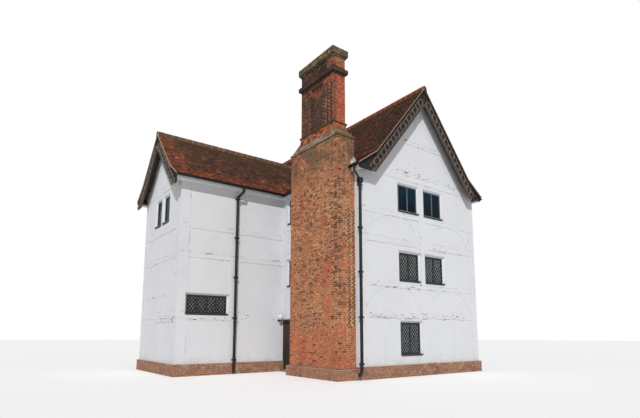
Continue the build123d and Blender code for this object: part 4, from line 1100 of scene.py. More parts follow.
def stack_look(place, header, rng):
    """Buff and brown, orange red at the foot and in the old repairs, burnt and weathered at the edges."""
    x, y, z = place.x - LEFT, place.y - NEAR, place.z
    weather = x < 0.02 - STACK_OUT
    tone = rng.gauss(0.6 if weather else 0.52, 0.15)
    dark = 0.2 if header else 0.05
    hue = 0.3 + 0.35 * drift(place, 0.7, 6.0)
    grime = ease(z + 0.7 * drift(place, 1.1, 2.0), 7.6, 9.2)
    tone -= 0.16 * grime
    if z < RED_FOOT + 0.06 * drift(place, 1.4, 5.0):
        tone, hue, dark = rng.gauss(0.72 if weather else 0.6, 0.16), 0.85, 0.06
    elif weather and any(inside(y, z, zone, 0.08 * drift(place, 3.0, 8.0)) for zone in RED_REPAIRS):
        tone, hue, dark = rng.gauss(0.7, 0.14), 0.9, 0.04
    elif weather:
        dark += 0.4 * ease(y + 0.3 * drift(place, 1.3, 4.0), 0.5, 0.15) * ease(z, 3.4, 4.2)
    elif inside(x, z, BURNT_STRIP):
        dark = 1.0 if chequer(place) else 0.05
        tone += 0.2
    elif inside(x, z, WEATHERED_EDGE):
        dark = 0.5
    if rng.random() < dark:
        tone = rng.uniform(0.02, 0.36)
    return tone, hue * rng.uniform(0.6, 1.2)


def shaft_look(place, header, rng):
    """Sooty and chequered on the weather side, bright on the near end and under the dentils."""
    x, y, z = place.x - LEFT, place.y - NEAR, place.z
    pilaster = (SHAFT_FAR - SHAFT_NEAR - RECESS_WIDE) / 2
    near_end = x > 0.2 - SHAFT_OUT or y < SHAFT_NEAR + 0.02
    if z > BAND_TOP:
        bright = near_end or y < SHAFT_NEAR + 0.4
        tone, red = (rng.gauss(0.62, 0.16), 0.4) if bright else (rng.gauss(0.12, 0.16), 0.1)
    elif near_end:
        tone, red = rng.gauss(0.6, 0.16), 0.95
    elif z < SHAFT_BASE:
        tone, red = rng.gauss(0.45, 0.22), 0.7
    elif z > RECESS_TOP - 0.35 + 0.3 * drift(place, 1.7, 3.0) and y < SHAFT_FAR - pilaster:
        tone, red = rng.gauss(0.5, 0.16), 0.9
    elif x > 0.02 - SHAFT_OUT:
        tone, red = rng.gauss(0.08, 0.1), 0.1
    elif y < SHAFT_NEAR + pilaster:
        tone, red = (rng.gauss(0.05, 0.06), 0.1) if chequer(place) else (rng.gauss(0.55, 0.2), 0.5)
    else:
        tone, red = rng.gauss(0.2, 0.2), 0.3
    return tone, red * rng.uniform(0.6, 1.2)


def band_look(place, header, rng):
    """Dark bricks under soot and lichen below the cap."""
    return rng.gauss(0.1, 0.1), 0.05


def plinth_look(place, header, rng):
    """Red brown bricks with a few burnt ones."""
    tone = rng.gauss(0.5, 0.19)
    if rng.random() < 0.2:
        tone = rng.uniform(0.12, 0.4)
    return tone, rng.gauss(0.42, 0.25)


def clip(points, axis, limit, keep_above):
    """Cuts a flat outline along one of its own axes."""
    out = []
    for i, point in enumerate(points):
        nxt = points[(i + 1) % len(points)]
        kept = (point[axis] >= limit) == keep_above or point[axis] == limit
        next_kept = (nxt[axis] >= limit) == keep_above or nxt[axis] == limit
        if kept:
            out.append(point)
        if kept != next_kept:
            share_along = (limit - point[axis]) / (nxt[axis] - point[axis])
            out.append(tuple(p + (q - p) * share_along for p, q in zip(point, nxt)))
    return out


def trimmed(points, s0, s1, z0, z1):
    """A flat outline cut to a rectangle."""
    for axis, limit, above in ((0, s0, True), (0, s1, False), (1, z0, True), (1, z1, False)):
        if points:
            points = clip(points, axis, limit, above)
    return points


def loose_boxes(node):
    """Lowest and highest corner of each separate piece in a node's mesh."""
    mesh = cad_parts[node].data
    root = list(range(len(mesh.vertices)))

    def find(i):
        while root[i] != i:
            root[i] = root[root[i]]
            i = root[i]
        return i

    places = {}
    for i, vertex in enumerate(mesh.vertices):
        key = tuple(round(c, 4) for c in vertex.co)
        root[find(i)] = find(places.setdefault(key, i))
    for face in mesh.polygons:
        for i in face.vertices[1:]:
            root[find(i)] = find(face.vertices[0])
    groups = {}
    for i, vertex in enumerate(mesh.vertices):
        groups.setdefault(find(i), []).append(vertex.co)
    boxes = []
    for group in groups.values():
        low = Vector(min(p[k] for p in group) for k in range(3))
        high = Vector(max(p[k] for p in group) for k in range(3))
        boxes.append((low, high))
    return sorted(boxes, key=lambda pair: tuple(round(c, 3) for c in pair[0]))


class Light(Side):
    """One glazed light of a window, on its own face."""

    def __init__(self, low, high, out):
        middle = (low + high) / 2
        super().__init__(middle.x, middle.y, out)
        wide = (high - low).y if abs(out[0]) > 0.5 else (high - low).x
        self.half = wide / 2
        self.sill = low.z
        self.head = high.z


def lights(name, outward):
    """The lights of one group of windows; outward gives the way out for panes across x or y."""
    found = []
    for low, high in loose_boxes(f"{name}_window_glass"):
        thin = "x" if high.x - low.x < high.y - low.y else "y"
        found.append(Light(low, high, outward[thin]))
    return found


LIGHT_GROUPS = {
    "front": {"y": TO_FRONT},
    "courtyard": {"x": TO_LEFT, "y": TO_FRONT},
    "wing_gable": {"x": TO_LEFT},
    "right": {"x": TO_RIGHT},
    "back": {"y": TO_BACK},
}


def bar(pile, light, a, b, width, depth, back):
    """A flat bar between two points of a light, standing out from back to depth."""
    run = Vector((b[0] - a[0], b[1] - a[1])).normalized()
    side = Vector((-run.y, run.x)) * width / 2
    rings = []
    for s, z in (a, b):
        rings.append([light.at(s + side.x, z + side.y, back), light.at(s - side.x, z - side.y, back),
                      light.at(s - side.x * 0.7, z - side.y * 0.7, depth),
                      light.at(s + side.x * 0.7, z + side.y * 0.7, depth)])
    pile.loft(rings)


def lead_light(glass, cames, light, w, rng):
    """Diamond quarries, each leaning a little its own way, held in crossing lead cames."""
    s0, s1 = -light.half + w.stile, light.half - w.stile
    z0, z1 = light.sill + w.stile, light.head - w.stile
    across, up = w.quarry_wide, w.quarry_high
    rows = int((z1 - z0) / up) + 2
    columns = int((s1 - s0) / across) + 2
    middle = (z0 + z1) / 2
    for i in range(-columns, columns + 1):
        for j in range(-rows, rows + 1):
            for shift in (0.0, 0.5):
                cs, cz = (i + shift) * across, middle + (j + shift) * up
                diamond = [(cs - across / 2, cz), (cs, cz - up / 2), (cs + across / 2, cz), (cs, cz + up / 2)]
                outline = trimmed(diamond, s0, s1, z0, z1)
                if len(outline) < 3:
                    continue
                lean_s, lean_z = (rng.uniform(-w.lean, w.lean) for _ in range(2))
                corners = [light.at(s, z, QUARRY_OUT + (s - cs) * lean_s + (z - cz) * lean_z)
                           for s, z in outline]
                glass.add(corners, [tuple(range(len(corners)))], rng.random())
    reach = 2 * (light.half + (z1 - z0) * across / up)
    count = int(reach / across) + 2
    for way in (-1, 1):
        for i in range(-count, count + 1):
            start = (i + 0.5) * across
            line = cut_line((start, middle), (across / 2, way * up / 2), s0, s1, z0, z1)
            if line:
                bar(cames, light, *line, w.came, *CAME_DEPTH)


def cut_line(point, run, s0, s1, z0, z1):
    """The stretch of a line inside a rectangle, or None."""
    low, high = -1e9, 1e9
    for value, step, a, b in ((point[0], run[0], s0, s1), (point[1], run[1], z0, z1)):
        t0, t1 = sorted(((a - value) / step, (b - value) / step))
        low, high = max(low, t0), min(high, t1)
    if high - low < 0.15:
        return None
    return [(point[0] + run[0] * t, point[1] + run[1] * t) for t in (low, high)]


def carve_board(pile, face, side, roof, depth, foot, c):
    """Carving down one bargeboard's face: ovals round every other piercing, scrolls and leaves between."""
    fall = math.hypot(1, roof.pitch)
    down = Vector((side / fall, -roof.pitch / fall))
    across = Vector((down.y * side, -down.x * side)) * -1
    total = (roof.barge(0, depth / 2) - foot) / roof.pitch * fall
    count = int((total - FIRST_PIERCING - c.width) / c.pitch) + 1
    for n in range(count):
        origin = Vector((roof.half, roof.barge(0, depth / 2))) + down * (FIRST_PIERCING + n * c.pitch)

        def place(x, y, d):
            spot = origin + down * x + across * y
            return face.at(spot.x, spot.y, BARGE_FACE + d)

        if n % 2 == 0:
            ring = [(c.oval_long * math.cos(a), c.oval_wide * math.sin(a)) for a in turn(24, 25)]
            stroke(pile, place, ring, c, 1.0)
            for way in (-1, 1):
                boss(pile, lambda x, y, d: place(way * c.oval_long + x, y, d), c.stem * 1.1, c.relief * 1.3)
            continue
        for way in (-1, 1):
            stroke(pile, place, scroll_line(c, way), c, 0.25)
            for end in (-1, 1):
                leaf(pile, place, end, way, c)


def scroll_line(c, way, steps=24):
    """A shallow C beside the middle line, whose ends curl in."""
    points = []
    for i in range(steps + 1):
        t = 2 * i / steps - 1
        turn = 2.3 * t * abs(t) ** 0.6
        reach = c.width * (1 - 0.42 * abs(t) ** 3)
        points.append((reach * math.sin(turn), way * (c.oval_wide - 0.62 * reach * (1 - math.cos(turn)))))
    return points


def stroke(pile, place, line, c, thin):
    """A raised band along a line, that thins towards its ends."""
    last = len(line) - 1
    rings = []
    for i, (x, y) in enumerate(line):
        before, after = line[max(0, i - 1)], line[min(last, i + 1)]
        if math.dist(line[0], line[-1]) < 0.001:
            before, after = line[i - 1 if i else last - 1], line[i + 1 if i < last else 1]
        run = Vector((after[0] - before[0], after[1] - before[1])).normalized()
        near_end = abs(2 * i / last - 1)
        w = c.stem / 2 * (1 - (1 - thin) * near_end ** 1.5)
        nx, ny = -run.y * w, run.x * w
        rings.append([place(x + nx, y + ny, -0.002), place(x + nx * 0.5, y + ny * 0.5, c.relief),
                      place(x - nx * 0.5, y - ny * 0.5, c.relief), place(x - nx, y - ny, -0.002)])
    pile.loft(rings, caps=False)


def boss(pile, place, radius, height, sides=7):
    """A small domed boss."""
    rings = []
    for share_up in (0.0, 0.6, 0.92):
        r = radius * math.cos(share_up * math.pi / 2)
        rise = height * math.sin(share_up * math.pi / 2)
        rings.append([place(r * math.cos(a), r * math.sin(a), rise) for a in turn(sides)])
    pile.loft(rings)


def leaf(pile, place, end, way, c):
    """A pointed leaf that fills a corner between a scroll and the next oval."""
    rings = []
    for i in range(6):
        t = i / 5
        x = end * c.pitch * (0.36 + 0.2 * t)
        y = way * c.oval_wide * (0.55 + 0.55 * t)
        w = 0.022 * math.sin(math.pi * min(1, t * 0.85 + 0.12))
        rings.append([place(x - w * end, y + w * way, -0.002), place(x, y, c.relief * 0.8),
                      place(x + w * end, y - w * way, -0.002)])
    pile.loft(rings, caps=False)


def outer_faces(names):
    """The faces of several nodes, ready for finding how far out they reach."""
    corners, faces = [], []
    for name in names:
        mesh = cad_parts[name].data
        base = len(corners)
        corners += [vertex.co.copy() for vertex in mesh.vertices]
        faces += [tuple(base + i for i in face.vertices) for face in mesh.polygons]
    return BVHTree.FromPolygons(corners, faces)


class Flaker:
    """Lays flakes on one side of the house, away from its windows."""

    def __init__(self, name, nodes, wear, rng):
        self.pile = Pile()
        self.side = SIDES[name]
        self.faces = outer_faces(nodes)
        self.gaps = self.openings({"wing_front": "courtyard", "wing_back": "back"}.get(name, name))
        self.w = wear
        self.rng = rng

    def openings(self, group):
        """The windows' rectangles on this side, a little enlarged, where nothing may flake."""
        found = []
        for light in lights(group, LIGHT_GROUPS[group]):
            if (light.out - self.side.out).length > 0.1:
                continue
            s = (light.start - self.side.start).dot(self.side.across)
            found.append((s - light.half - BESIDE_LIGHT, s + light.half + BESIDE_LIGHT,
                          light.sill - BELOW_LIGHT, light.head + ABOVE_LIGHT))
        return found

    def flake(self, s, z, wide, high, reach=0.3, count=12):
        """A thin uneven patch of bare wood lying on the outermost face; the darker patches are painted
        shadow.
        """
        hit = self.faces.ray_cast(self.side.at(s, z, reach), -self.side.out, 2 * reach)
        if hit[0] is None or hit[3] < reach - 0.03:
            return
        d = reach - hit[3]
        tone = self.rng.random()
        ring = []
        for i, angle in enumerate(turn(count)):
            r = self.rng.uniform(0.5, 1.0) * (1.15 - 0.3 * (i % 2))
            ring.append((wide / 2 * r * math.cos(angle), high / 2 * r * math.sin(angle)))
        back, front = (
            [self.side.at(s + a * size, z + b * size, d + lift) for a, b in ring]
            for size, lift in ((1.0, -0.002), (0.8, 0.0012)))
        self.pile.loft([back, front], caps=False, tone=tone)
        self.pile.add(front, [tuple(range(count))], tone)

    def lay(self, s, z, size, upright):
        """One flake along an edge, unless a window is in the way."""
        if any(inside(s, z, gap) for gap in self.gaps):
            return
        long = size * self.w.longest * self.rng.uniform(0.08, 1.0) ** 1.6
        thin = size * self.w.widest * self.rng.uniform(0.2, 1.0)
        self.flake(s, z, *((thin, long) if upright else (long, thin)))

    def run(self, start, end):
        """Flakes along one edge, thick in some stretches and missing in others."""
        way = Vector(end) - Vector(start)
        upright = abs(way.x) < 0.01
        travelled = self.rng.uniform(0, 0.3)
        while travelled < way.length:
            s, z = Vector(start) + way * (travelled / way.length)
            place = self.side.at(s, z)
            often = ease(drift(place, 0.9, 6.0) + 0.35 * drift(place, 3.3, 2.0), 0.0, 0.5)
            if self.rng.random() < often:
                off = self.rng.gauss(0, 0.012)
                self.lay(*((s + off, z) if upright else (s, z + off)), 1.0, upright)
            travelled += self.rng.uniform(0.4, 1.6) * self.w.spacing

    def patch(self, s0, s1, z0, z1):
        """Flakes crowded over one worn place."""
        wide, high = s1 - s0, z1 - z0
        count = int(self.w.crowding * max(wide, high) * max(0.5, 10 * min(wide, high)))
        for _ in range(count):
            s, z = self.rng.uniform(s0, s1), self.rng.uniform(z0, z1)
            self.lay(s, z, self.rng.uniform(0.5, 1.8), high > wide)


# Operators

class HOUSE_OT_finishes(bpy.types.Operator):
    """Give every carried-over piece of the house its finish"""
    bl_idname = "house.finishes"
    bl_label = "Finishes"

    def execute(self, context):
        c = picked(context)
        finishes = (
            (stonework(c), ("ground_floor", "door_step")),
            (floor_boards(c), ("floor",)),
            (stonework(c, "cap_stone", 0.7), ("chimney_cap",)),
            (masonry(c), ("plinth", "chimney")),
            (lead(c), ("flashing",)),
            (limewash(c), ("_wall", "wall_", "eaves_boards")),
            (limewashed_oak(c, "wing_oak", WING_RAILS), ("wing_gable_timbers", "courtyard_timbers")),
            (limewashed_oak(c, "range_oak", RANGE_RAILS), ("timbers",)),
            (window_oak(c), ("window_frames",)),
            (blue_glass(c), ("window_glass",)),
            (ridge_clay("ridge_clay"), ("ridge_tiles",)),
            (roof_deck(), ("_roof",)),
            (barge_oak(c, "wing_barge_oak", WING_ROOF, "Y", RIDGE_Y, WING_BARGE_DEPTH), ("wing_barge",)),
            (barge_oak(c, "range_barge_oak", RANGE_ROOF, "X", RIDGE_X, BARGE_DEPTH), ("barge",)),
            (painted_iron(c), ("gutters", "downpipes", "ironwork", "pintles", "lamp_bracket")),
            (dark_oak(c), ("door_frame", "door_leaf")),
            (opal_glass(), ("lamp_globe",)),
        )
        for name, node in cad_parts.items():
            found = [finish for finish, words in finishes if any(word in name for word in words)]
            if not found:
                raise RuntimeError(f"no finish is named for {name}")
            node.data.materials.clear()
            node.data.materials.append(found[0])
        return {"FINISHED"}


class HOUSE_OT_tiles(bpy.types.Operator):
    """Lay plain clay tiles on the four slopes"""
    bl_idname = "house.tiles"
    bl_label = "Roof tiles"

    def execute(self, context):
        t = context.scene.house_tiles
        material = clay_tiles(picked(context))
        range_run = (VERGE_NEAR + TILE_INSET, VERGE_FAR - TILE_INSET)
        wing_run = (VERGE_WING + TILE_INSET, RIDGE_X)
        slopes = (
            ("range_tiles_left", Slope(RANGE_ROOF, -1, False), *range_run, under_wing, range_look),
            ("range_tiles_right", Slope(RANGE_ROOF, 1, False), *range_run, lambda p: False, range_look),
            ("wing_tiles_front", Slope(WING_ROOF, -1, True), *wing_run, under_range, wing_look),
            ("wing_tiles_back", Slope(WING_ROOF, 1, True), *wing_run, under_range, wing_look),
        )
        for i, slope in enumerate(slopes):
            lay_slope(*slope, t.seed + i, material, t)
        return {"FINISHED"}


class HOUSE_OT_ridges(bpy.types.Operator):
    """Bed half round ridge tiles along both ridges"""
    bl_idname = "house.ridges"
    bl_label = "Ridge tiles"

    def execute(self, context):
        t = context.scene.house_tiles
        rng = random.Random(t.seed + 9)
        bed = bed_mortar()
        wing_stop = RIDGE_X - (RANGE_RIDGE - WING_RIDGE) / RANGE_ROOF.pitch + 0.1
        runs = (
            ("range_ridge", "range_ridge_tiles", RANGE_ROOF, VERGE_NEAR, VERGE_FAR, False),
            ("wing_ridge", "wing_ridge_tiles", WING_ROOF, VERGE_WING, wing_stop, True),
        )
        for name, node, roof, start, end, along_x in runs:
            tiles, joints = Pile(), Pile()
            count = round((end - start) / t.ridge_length)
            step = (end - start) / count
            for i in range(count):
                lift = rng.uniform(-0.004, 0.005)
                tone = clamp(rng.gauss(0.45, 0.25))
                a, b = start + i * step, start + (i + 1) * step
                self.ridge_tile(tiles, roof, a + 0.002, b - 0.002, along_x, lift, tone)
                self.joint(joints, roof, a, along_x, lift)
            clay = ridge_clay(f"{name}_clay", 0.9 if along_x else 0.0)
            piece = tiles.make(name, clay, "clay_tile" if along_x else "ridge_clay")
            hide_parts(node)
            joints.make(f"{name}_mortar", bed, "clay_tile" if along_x else "ridge_clay")
        return {"FINISHED"}

    def arch(self, roof, radius, along, along_x, lift, sides=10):
        """Points of an arch over the ridge whose feet run down both slopes."""
        foot = roof.ridge - RIDGE_FOOT * roof.pitch + 0.03 + lift
        angles = (math.pi - math.pi * (0.08 + 0.84 * i / sides) for i in range(sides + 1))
        crown = [(radius * math.cos(a), roof.ridge - 0.01 + radius * 0.95 * math.sin(a) + lift)
                 for a in angles]
        outline = [(-RIDGE_FOOT, foot), *crown, (RIDGE_FOOT, foot)]
        return [over_ridge(along, h, z, along_x) for h, z in outline]

    def ridge_tile(self, pile, roof, a, b, along_x, lift, tone):
        """One tile, a little wider at the end that laps the next."""
        inner, outer = (
            [self.arch(roof, radius + grow, at, along_x, lift - drop) for at, grow in ((a, 0.0), (b, flare))]
            for radius, drop, flare in ((RIDGE_BORE, 0.016, 0.0), (RIDGE_RADIUS, 0.0, 0.006)))
        pile.loft([inner[0], *outer, inner[1]], closed=False, caps=False, tone=tone)

    def joint(self, pile, roof, at, along_x, lift):
        """A raised band of mortar between two tiles."""
        low, high = RIDGE_RADIUS - 0.007, RIDGE_RADIUS + 0.006
        rings = [self.arch(roof, radius, at + shift, along_x, lift - 0.004)
                 for radius, shift in ((low, -0.012), (high, -0.006), (high, 0.006), (low, 0.012))]
        pile.loft(rings, closed=False, caps=False)


class HOUSE_OT_bricks(bpy.types.Operator):
    """Lay bricks on the stack, the shaft and the plinth"""
    bl_idname = "house.bricks"
    bl_label = "Brickwork"

    def execute(self, context):
        b = context.scene.house_bricks
        material = brickwork(picked(context))
        rng = random.Random(b.seed)
        for lay, name in ((self.stack, "stack"), (self.shaft, "shaft"), (self.plinth, "plinth")):
            layer = Bricklayer(b, rng)
            lay(layer)
            layer.pile.make(f"{name}_bricks", material, "brick")
        return {"FINISHED"}

    def stack(self, layer):
        x0, y0, y1 = LEFT - STACK_OUT, NEAR + STACK_NEAR, NEAR + STACK_FAR
        f, p = STACK_FOOT_OUT, layer.b.proud * 0.6
        layer.block(x0 - f, LEFT - PLINTH_OUT, y0 - f, y1 + f, 0.01, STACK_FOOT - 0.01, stack_look, False)
        levels = (STACK_FOOT, STACK_TOP, stack_look)
        strip = STACK_OUT + BURNT_STRIP[0]
        near_face = Side(x0, y0, TO_FRONT)
        layer.wall(Side(x0, y1 + p, TO_LEFT), 0, y1 - y0 + 2 * p, *levels)
        layer.wall(near_face, 0, strip, *levels, False)
        layer.wall(near_face, strip, STACK_OUT, *levels, False, False)
        layer.wall(Side(LEFT, y1, TO_BACK), 0, STACK_OUT, *levels, False)
        near, far = NEAR + SHAFT_NEAR - BASE_OUT, NEAR + SHAFT_FAR + BASE_OUT
        slope_x = x0 + WEATHER_LEAN * (COPING_TOP - STACK_TOP - STRING_HIGH)
        slope = Side(slope_x, far, TO_LEFT, COPING_TOP, WEATHER_LEAN)
        layer.wall(slope, 0, far - near, COPING_TOP, WEATHER_TOP, shaft_look)
        x0, x1 = LEFT - SHAFT_OUT - BASE_OUT, LEFT - SHAFT_BACK + BASE_OUT
        layer.block(x0, x1, near, far, WEATHER_TOP, SHAFT_BASE - 0.05, shaft_look)

    def shaft(self, layer):
        x0, x1 = LEFT - SHAFT_OUT, LEFT - SHAFT_BACK
        y0, y1 = NEAR + SHAFT_NEAR, NEAR + SHAFT_FAR
        edge = (y1 - y0 - RECESS_WIDE) / 2
        recess = (edge, edge + RECESS_WIDE)
        whole = (SHAFT_BASE, DENTIL_LOW, shaft_look)
        deep = (SHAFT_BASE, RECESS_TOP, shaft_look)
        face = Side(x0, y1, TO_LEFT)
        layer.wall(face, 0, edge, *whole)
        layer.wall(face, recess[1], y1 - y0, *whole, True, False)
        layer.wall(face, *recess, RECESS_TOP, DENTIL_LOW, shaft_look)
        layer.wall(Side(x0 + RECESS_DEEP, y1, TO_LEFT), *recess, *deep)
        for jamb in (Side(x0, y1 - edge, TO_FRONT), Side(x0 + RECESS_DEEP, y0 + edge, TO_BACK)):
            layer.wall(jamb, 0.006, RECESS_DEEP - 0.006, *deep)
        layer.wall(Side(x0, y0, TO_FRONT), 0, x1 - x0, *whole, False)
        layer.wall(Side(x1, y1, TO_BACK), 0, x1 - x0, *whole, False)
        layer.wall(Side(x1, y0, TO_RIGHT), 0, y1 - y0, *whole)
        o = BAND_OUT
        layer.block(x0 - o, x1 + o, y0 - o, y1 + o, BAND_LOW, BAND_TOP, band_look)
        layer.block(x0, x1, y0, y1, BAND_TOP, CAP_FOOT, shaft_look)

    def plinth(self, layer):
        o = PLINTH_OUT
        wide, deep = RIGHT - LEFT, FAR - NEAR
        wing, arm = LEFT - WING_END, WING_FAR - WING_NEAR
        before_stack = STACK_NEAR - STACK_FOOT_OUT
        runs = (
            (Side(LEFT, NEAR - o, TO_FRONT), -o, wide + o),
            (Side(RIGHT + o, NEAR, TO_RIGHT), -o, deep + o),
            (Side(RIGHT, FAR + o, TO_BACK), -o, wide + o),
            (Side(LEFT - o, FAR, TO_LEFT), -o, FAR - WING_FAR - o),
            (Side(LEFT, WING_FAR + o, TO_BACK), o, wing + o),
            (Side(WING_END - o, WING_FAR, TO_LEFT), -o, arm + o),
            (Side(WING_END, WING_NEAR - o, TO_FRONT), -o, wing - 0.01),
            (Side(LEFT - o, STEP_NEAR, TO_LEFT), 0, STEP_NEAR - NEAR - STACK_FAR - STACK_FOOT_OUT),
            (Side(LEFT - o, NEAR + before_stack, TO_LEFT), 0, before_stack + o),
        )
        for side, s0, s1 in runs:
            layer.wall(side, s0, s1, 0.008, PLINTH_TOP - 0.004, plinth_look)


class HOUSE_OT_windows(bpy.types.Operator):
    """Glaze the lights: leaded quarries below, plain panes on the top floor"""
    bl_idname = "house.windows"
    bl_label = "Windows"

    def execute(self, context):
        c = picked(context)
        w = context.scene.house_lights
        rng = random.Random(w.seed)
        glass_finish, came_finish, stile_finish = old_glass(c), lead(c, "cames", 0.35), painted_iron(c)
        for name, outward in LIGHT_GROUPS.items():
            glass, cames, stiles = Pile(), Pile(), Pile()
            for light in lights(name, outward):
                if light.sill < LEADED_BELOW and name != "wing_gable":
                    lead_light(glass, cames, light, w, rng)
                self.casement(stiles, light, w)
            if glass.faces:
                glass.make(f"{name}_quarries", glass_finish, "window_glass")
                cames.make(f"{name}_cames", came_finish, "lead")
            stiles.make(f"{name}_casements", stile_finish, "black_iron")
        return {"FINISHED"}

    def casement(self, pile, light, w):
        """The thin iron frame of one light."""
        half = w.stile / 2
        s0, s1 = -light.half + half, light.half - half
        z0, z1 = light.sill + half, light.head - half
        for a, b in (((s0, z0 - half), (s0, z1 + half)), ((s1, z0 - half), (s1, z1 + half)),
                     ((s0, z0), (s1, z0)), ((s0, z1), (s1, z1))):
            bar(pile, light, a, b, w.stile, *CASEMENT_DEPTH)


class HOUSE_OT_carving(bpy.types.Operator):
    """Carve ovals and scrolls along the bargeboards"""
    bl_idname = "house.carving"
    bl_label = "Bargeboard carving"

    def execute(self, context):
        carving = context.scene.house_carving
        material = carved_oak(picked(context))
        gables = (
            ("front", SIDES["front"], RANGE_ROOF, BARGE_DEPTH, BARGE_FOOT),
            ("back", SIDES["back"], RANGE_ROOF, BARGE_DEPTH, BARGE_FOOT),
            ("wing", SIDES["wing_gable"], WING_ROOF, WING_BARGE_DEPTH, WING_BARGE_FOOT),
        )
        for name, face, roof, depth, foot in gables:
            pile = Pile()
            for side in (-1, 1):
                carve_board(pile, face, side, roof, depth, foot, carving)
            pile.make(f"{name}_scrolls", material, "dark_oak")
        return {"FINISHED"}


class HOUSE_OT_wear(bpy.types.Operator):
    """Flake the limewash along the edges of rails and posts, with painted shadow in the darker flakes"""
    bl_idname = "house.wear"
    bl_label = "Flaked edges"

    def execute(self, context):
        w = context.scene.house_wear
        rng = random.Random(w.seed)
        material = bare_flake()
        wide, deep = RIGHT - LEFT, FAR - NEAR
        wing, arm = LEFT - WING_END, WING_FAR - WING_NEAR
        post = 0.4
        king = (wide / 2 - 0.21, wide / 2 + 0.23)
        runs = {
            "front": ("range_front_wall", "front_timbers", RANGE_RAILS[:5], wide, (post, *king, wide - post)),
            "back": ("range_back_wall", "back_timbers", RANGE_RAILS[:5], wide, (post, *king, wide - post)),
            "right": ("range_right_wall", "right_timbers", RANGE_RAILS[:4], deep, (post, deep - post)),
            "wing_front": ("wing_front_wall", "courtyard_timbers", WING_RAILS[:3], wing, (post,)),
            "wing_gable": ("wing_gable_wall", "wing_gable_timbers", WING_RAILS[:4], arm, (post, arm - post)),
            "wing_back": ("wing_back_wall", "back_timbers", RANGE_RAILS[:4], wing, (wing - post,)),
        }
        for name, (wall, timbers, rails, width, posts) in runs.items():
            flaker = Flaker(name, (wall, timbers), w, rng)
            for top, depth in rails:
                for level in (top, top - depth):
                    flaker.run((0.1, level), (width - 0.1, level))
            for s in posts:
                flaker.run((s, PLINTH_TOP + 0.23), (s, EAVES_TOP - 0.4))
            flaker.run((0.05, PLINTH_TOP + 0.02), (width - 0.05, PLINTH_TOP + 0.02))
            for zone in WORN.get(name, ()):
                flaker.patch(*zone)
            flaker.pile.make(f"{name}_flakes", material, "limewashed_oak")
        return {"FINISHED"}


class HOUSE_OT_rainwater(bpy.types.Operator):
    """Hang the gutters on straps and nail the pipes' ears to the walls"""
    bl_idname = "house.rainwater"
    bl_label = "Gutter straps and pipe ears"

    def execute(self, context):
        pile = Pile()
        finish = painted_iron(picked(context))
        left, right = LEFT - GUTTER_SET, RIGHT + GUTTER_SET
        near, far, wing_end = NEAR - BARGE_FACE, FAR + BARGE_FACE, WING_END - BARGE_FACE
        wing_near, wing_far = WING_NEAR - WING_GUTTER_SET, WING_FAR + WING_GUTTER_SET
        runs = (
            ((right, near), (right, far)),
            ((left, NEAR + STACK_FAR), (left, wing_near - 0.1)),
            ((wing_end, wing_near), (left - 0.1, wing_near)),
            ((wing_end, wing_far), (left - 0.1, wing_far)),
            ((left, wing_far + 0.1), (left, far)),
        )
        for start, end in runs:
            a, b = Vector((*start, GUTTER_RIM)), Vector((*end, GUTTER_RIM))
            count = max(2, round((b - a).length / STRAP_PITCH))
            for i in range(count + 1):
                along = (i + STRAP_END) / (count + 2 * STRAP_END)
                self.strap(pile, a + (b - a) * along, (b - a).normalized())
        pile.make("gutter_straps", finish, "black_iron")
        self.ears(finish)
        return {"FINISHED"}

    def ears(self, finish, half=0.118, rise=0.034, thick=0.012, bobbin=0.016):
        """The ears of each pipe collar, and the bobbins that hold them off the wall."""
        pile = Pile()
        for name, s, top in PIPES:
            count = round((top - COLLAR_LOW) / COLLAR_PITCH)
            for i in range(count + 1):
                z = COLLAR_LOW + i * (top - COLLAR_LOW) / count
                for middle, wide, high, near, far in (
                        (s, half, rise, PIPE_SET - thick, PIPE_SET + thick),
                        (s + half - bobbin, bobbin, bobbin, 0.0, PIPE_SET)):
                    corners = ((-wide, -high), (wide, -high), (wide, high), (-wide, high))
                    pile.loft([[SIDES[name].at(middle + a, z + b, d) for a, b in corners]
                               for d in (near, far)])
        pile.make("pipe_ears", finish, "black_iron")

    def strap(self, pile, place, way, sides=10):
        """A half round strap under the trough."""
        side = Vector((0, 0, 1)).cross(way)
        rings = []
        for radius, shift in ((0.0, -0.016), (0.005, -0.012), (0.005, 0.012), (0.0, 0.016)):
            r = GUTTER_RADIUS + 0.001 + radius
            rings.append([place + way * shift + side * r * math.cos(a) - Vector((0, 0, r * math.sin(a)))
                          for a in (math.pi * i / sides for i in range(sides + 1))])
        pile.loft(rings, closed=False, caps=False)


class HOUSE_OT_door(bpy.types.Operator):
    """Stud the door's boards"""
    bl_idname = "house.door"
    bl_label = "Door studs"

    def execute(self, context):
        pile = Pile()
        face = Side(DOOR_LOW.x, DOOR_HIGH.y, TO_LEFT)
        wide = DOOR_HIGH.y - DOOR_LOW.y
        high = DOOR_HIGH.z - DOOR_LOW.z
        for share_up in LEDGES:
            for row in STUD_ROWS:
                for i in range(DOOR_BOARDS):
                    s = (i + 0.5) / DOOR_BOARDS * wide
                    z = DOOR_LOW.z + share_up * high + row

                    def place(a, b, d):
                        return face.at(s + a, z + b, d - 0.001)

                    boss(pile, place, STUD_RADIUS, STUD_RISE, 8)
        pile.make("door_studs", painted_iron(picked(context)), "black_iron", "door")
        return {"FINISHED"}


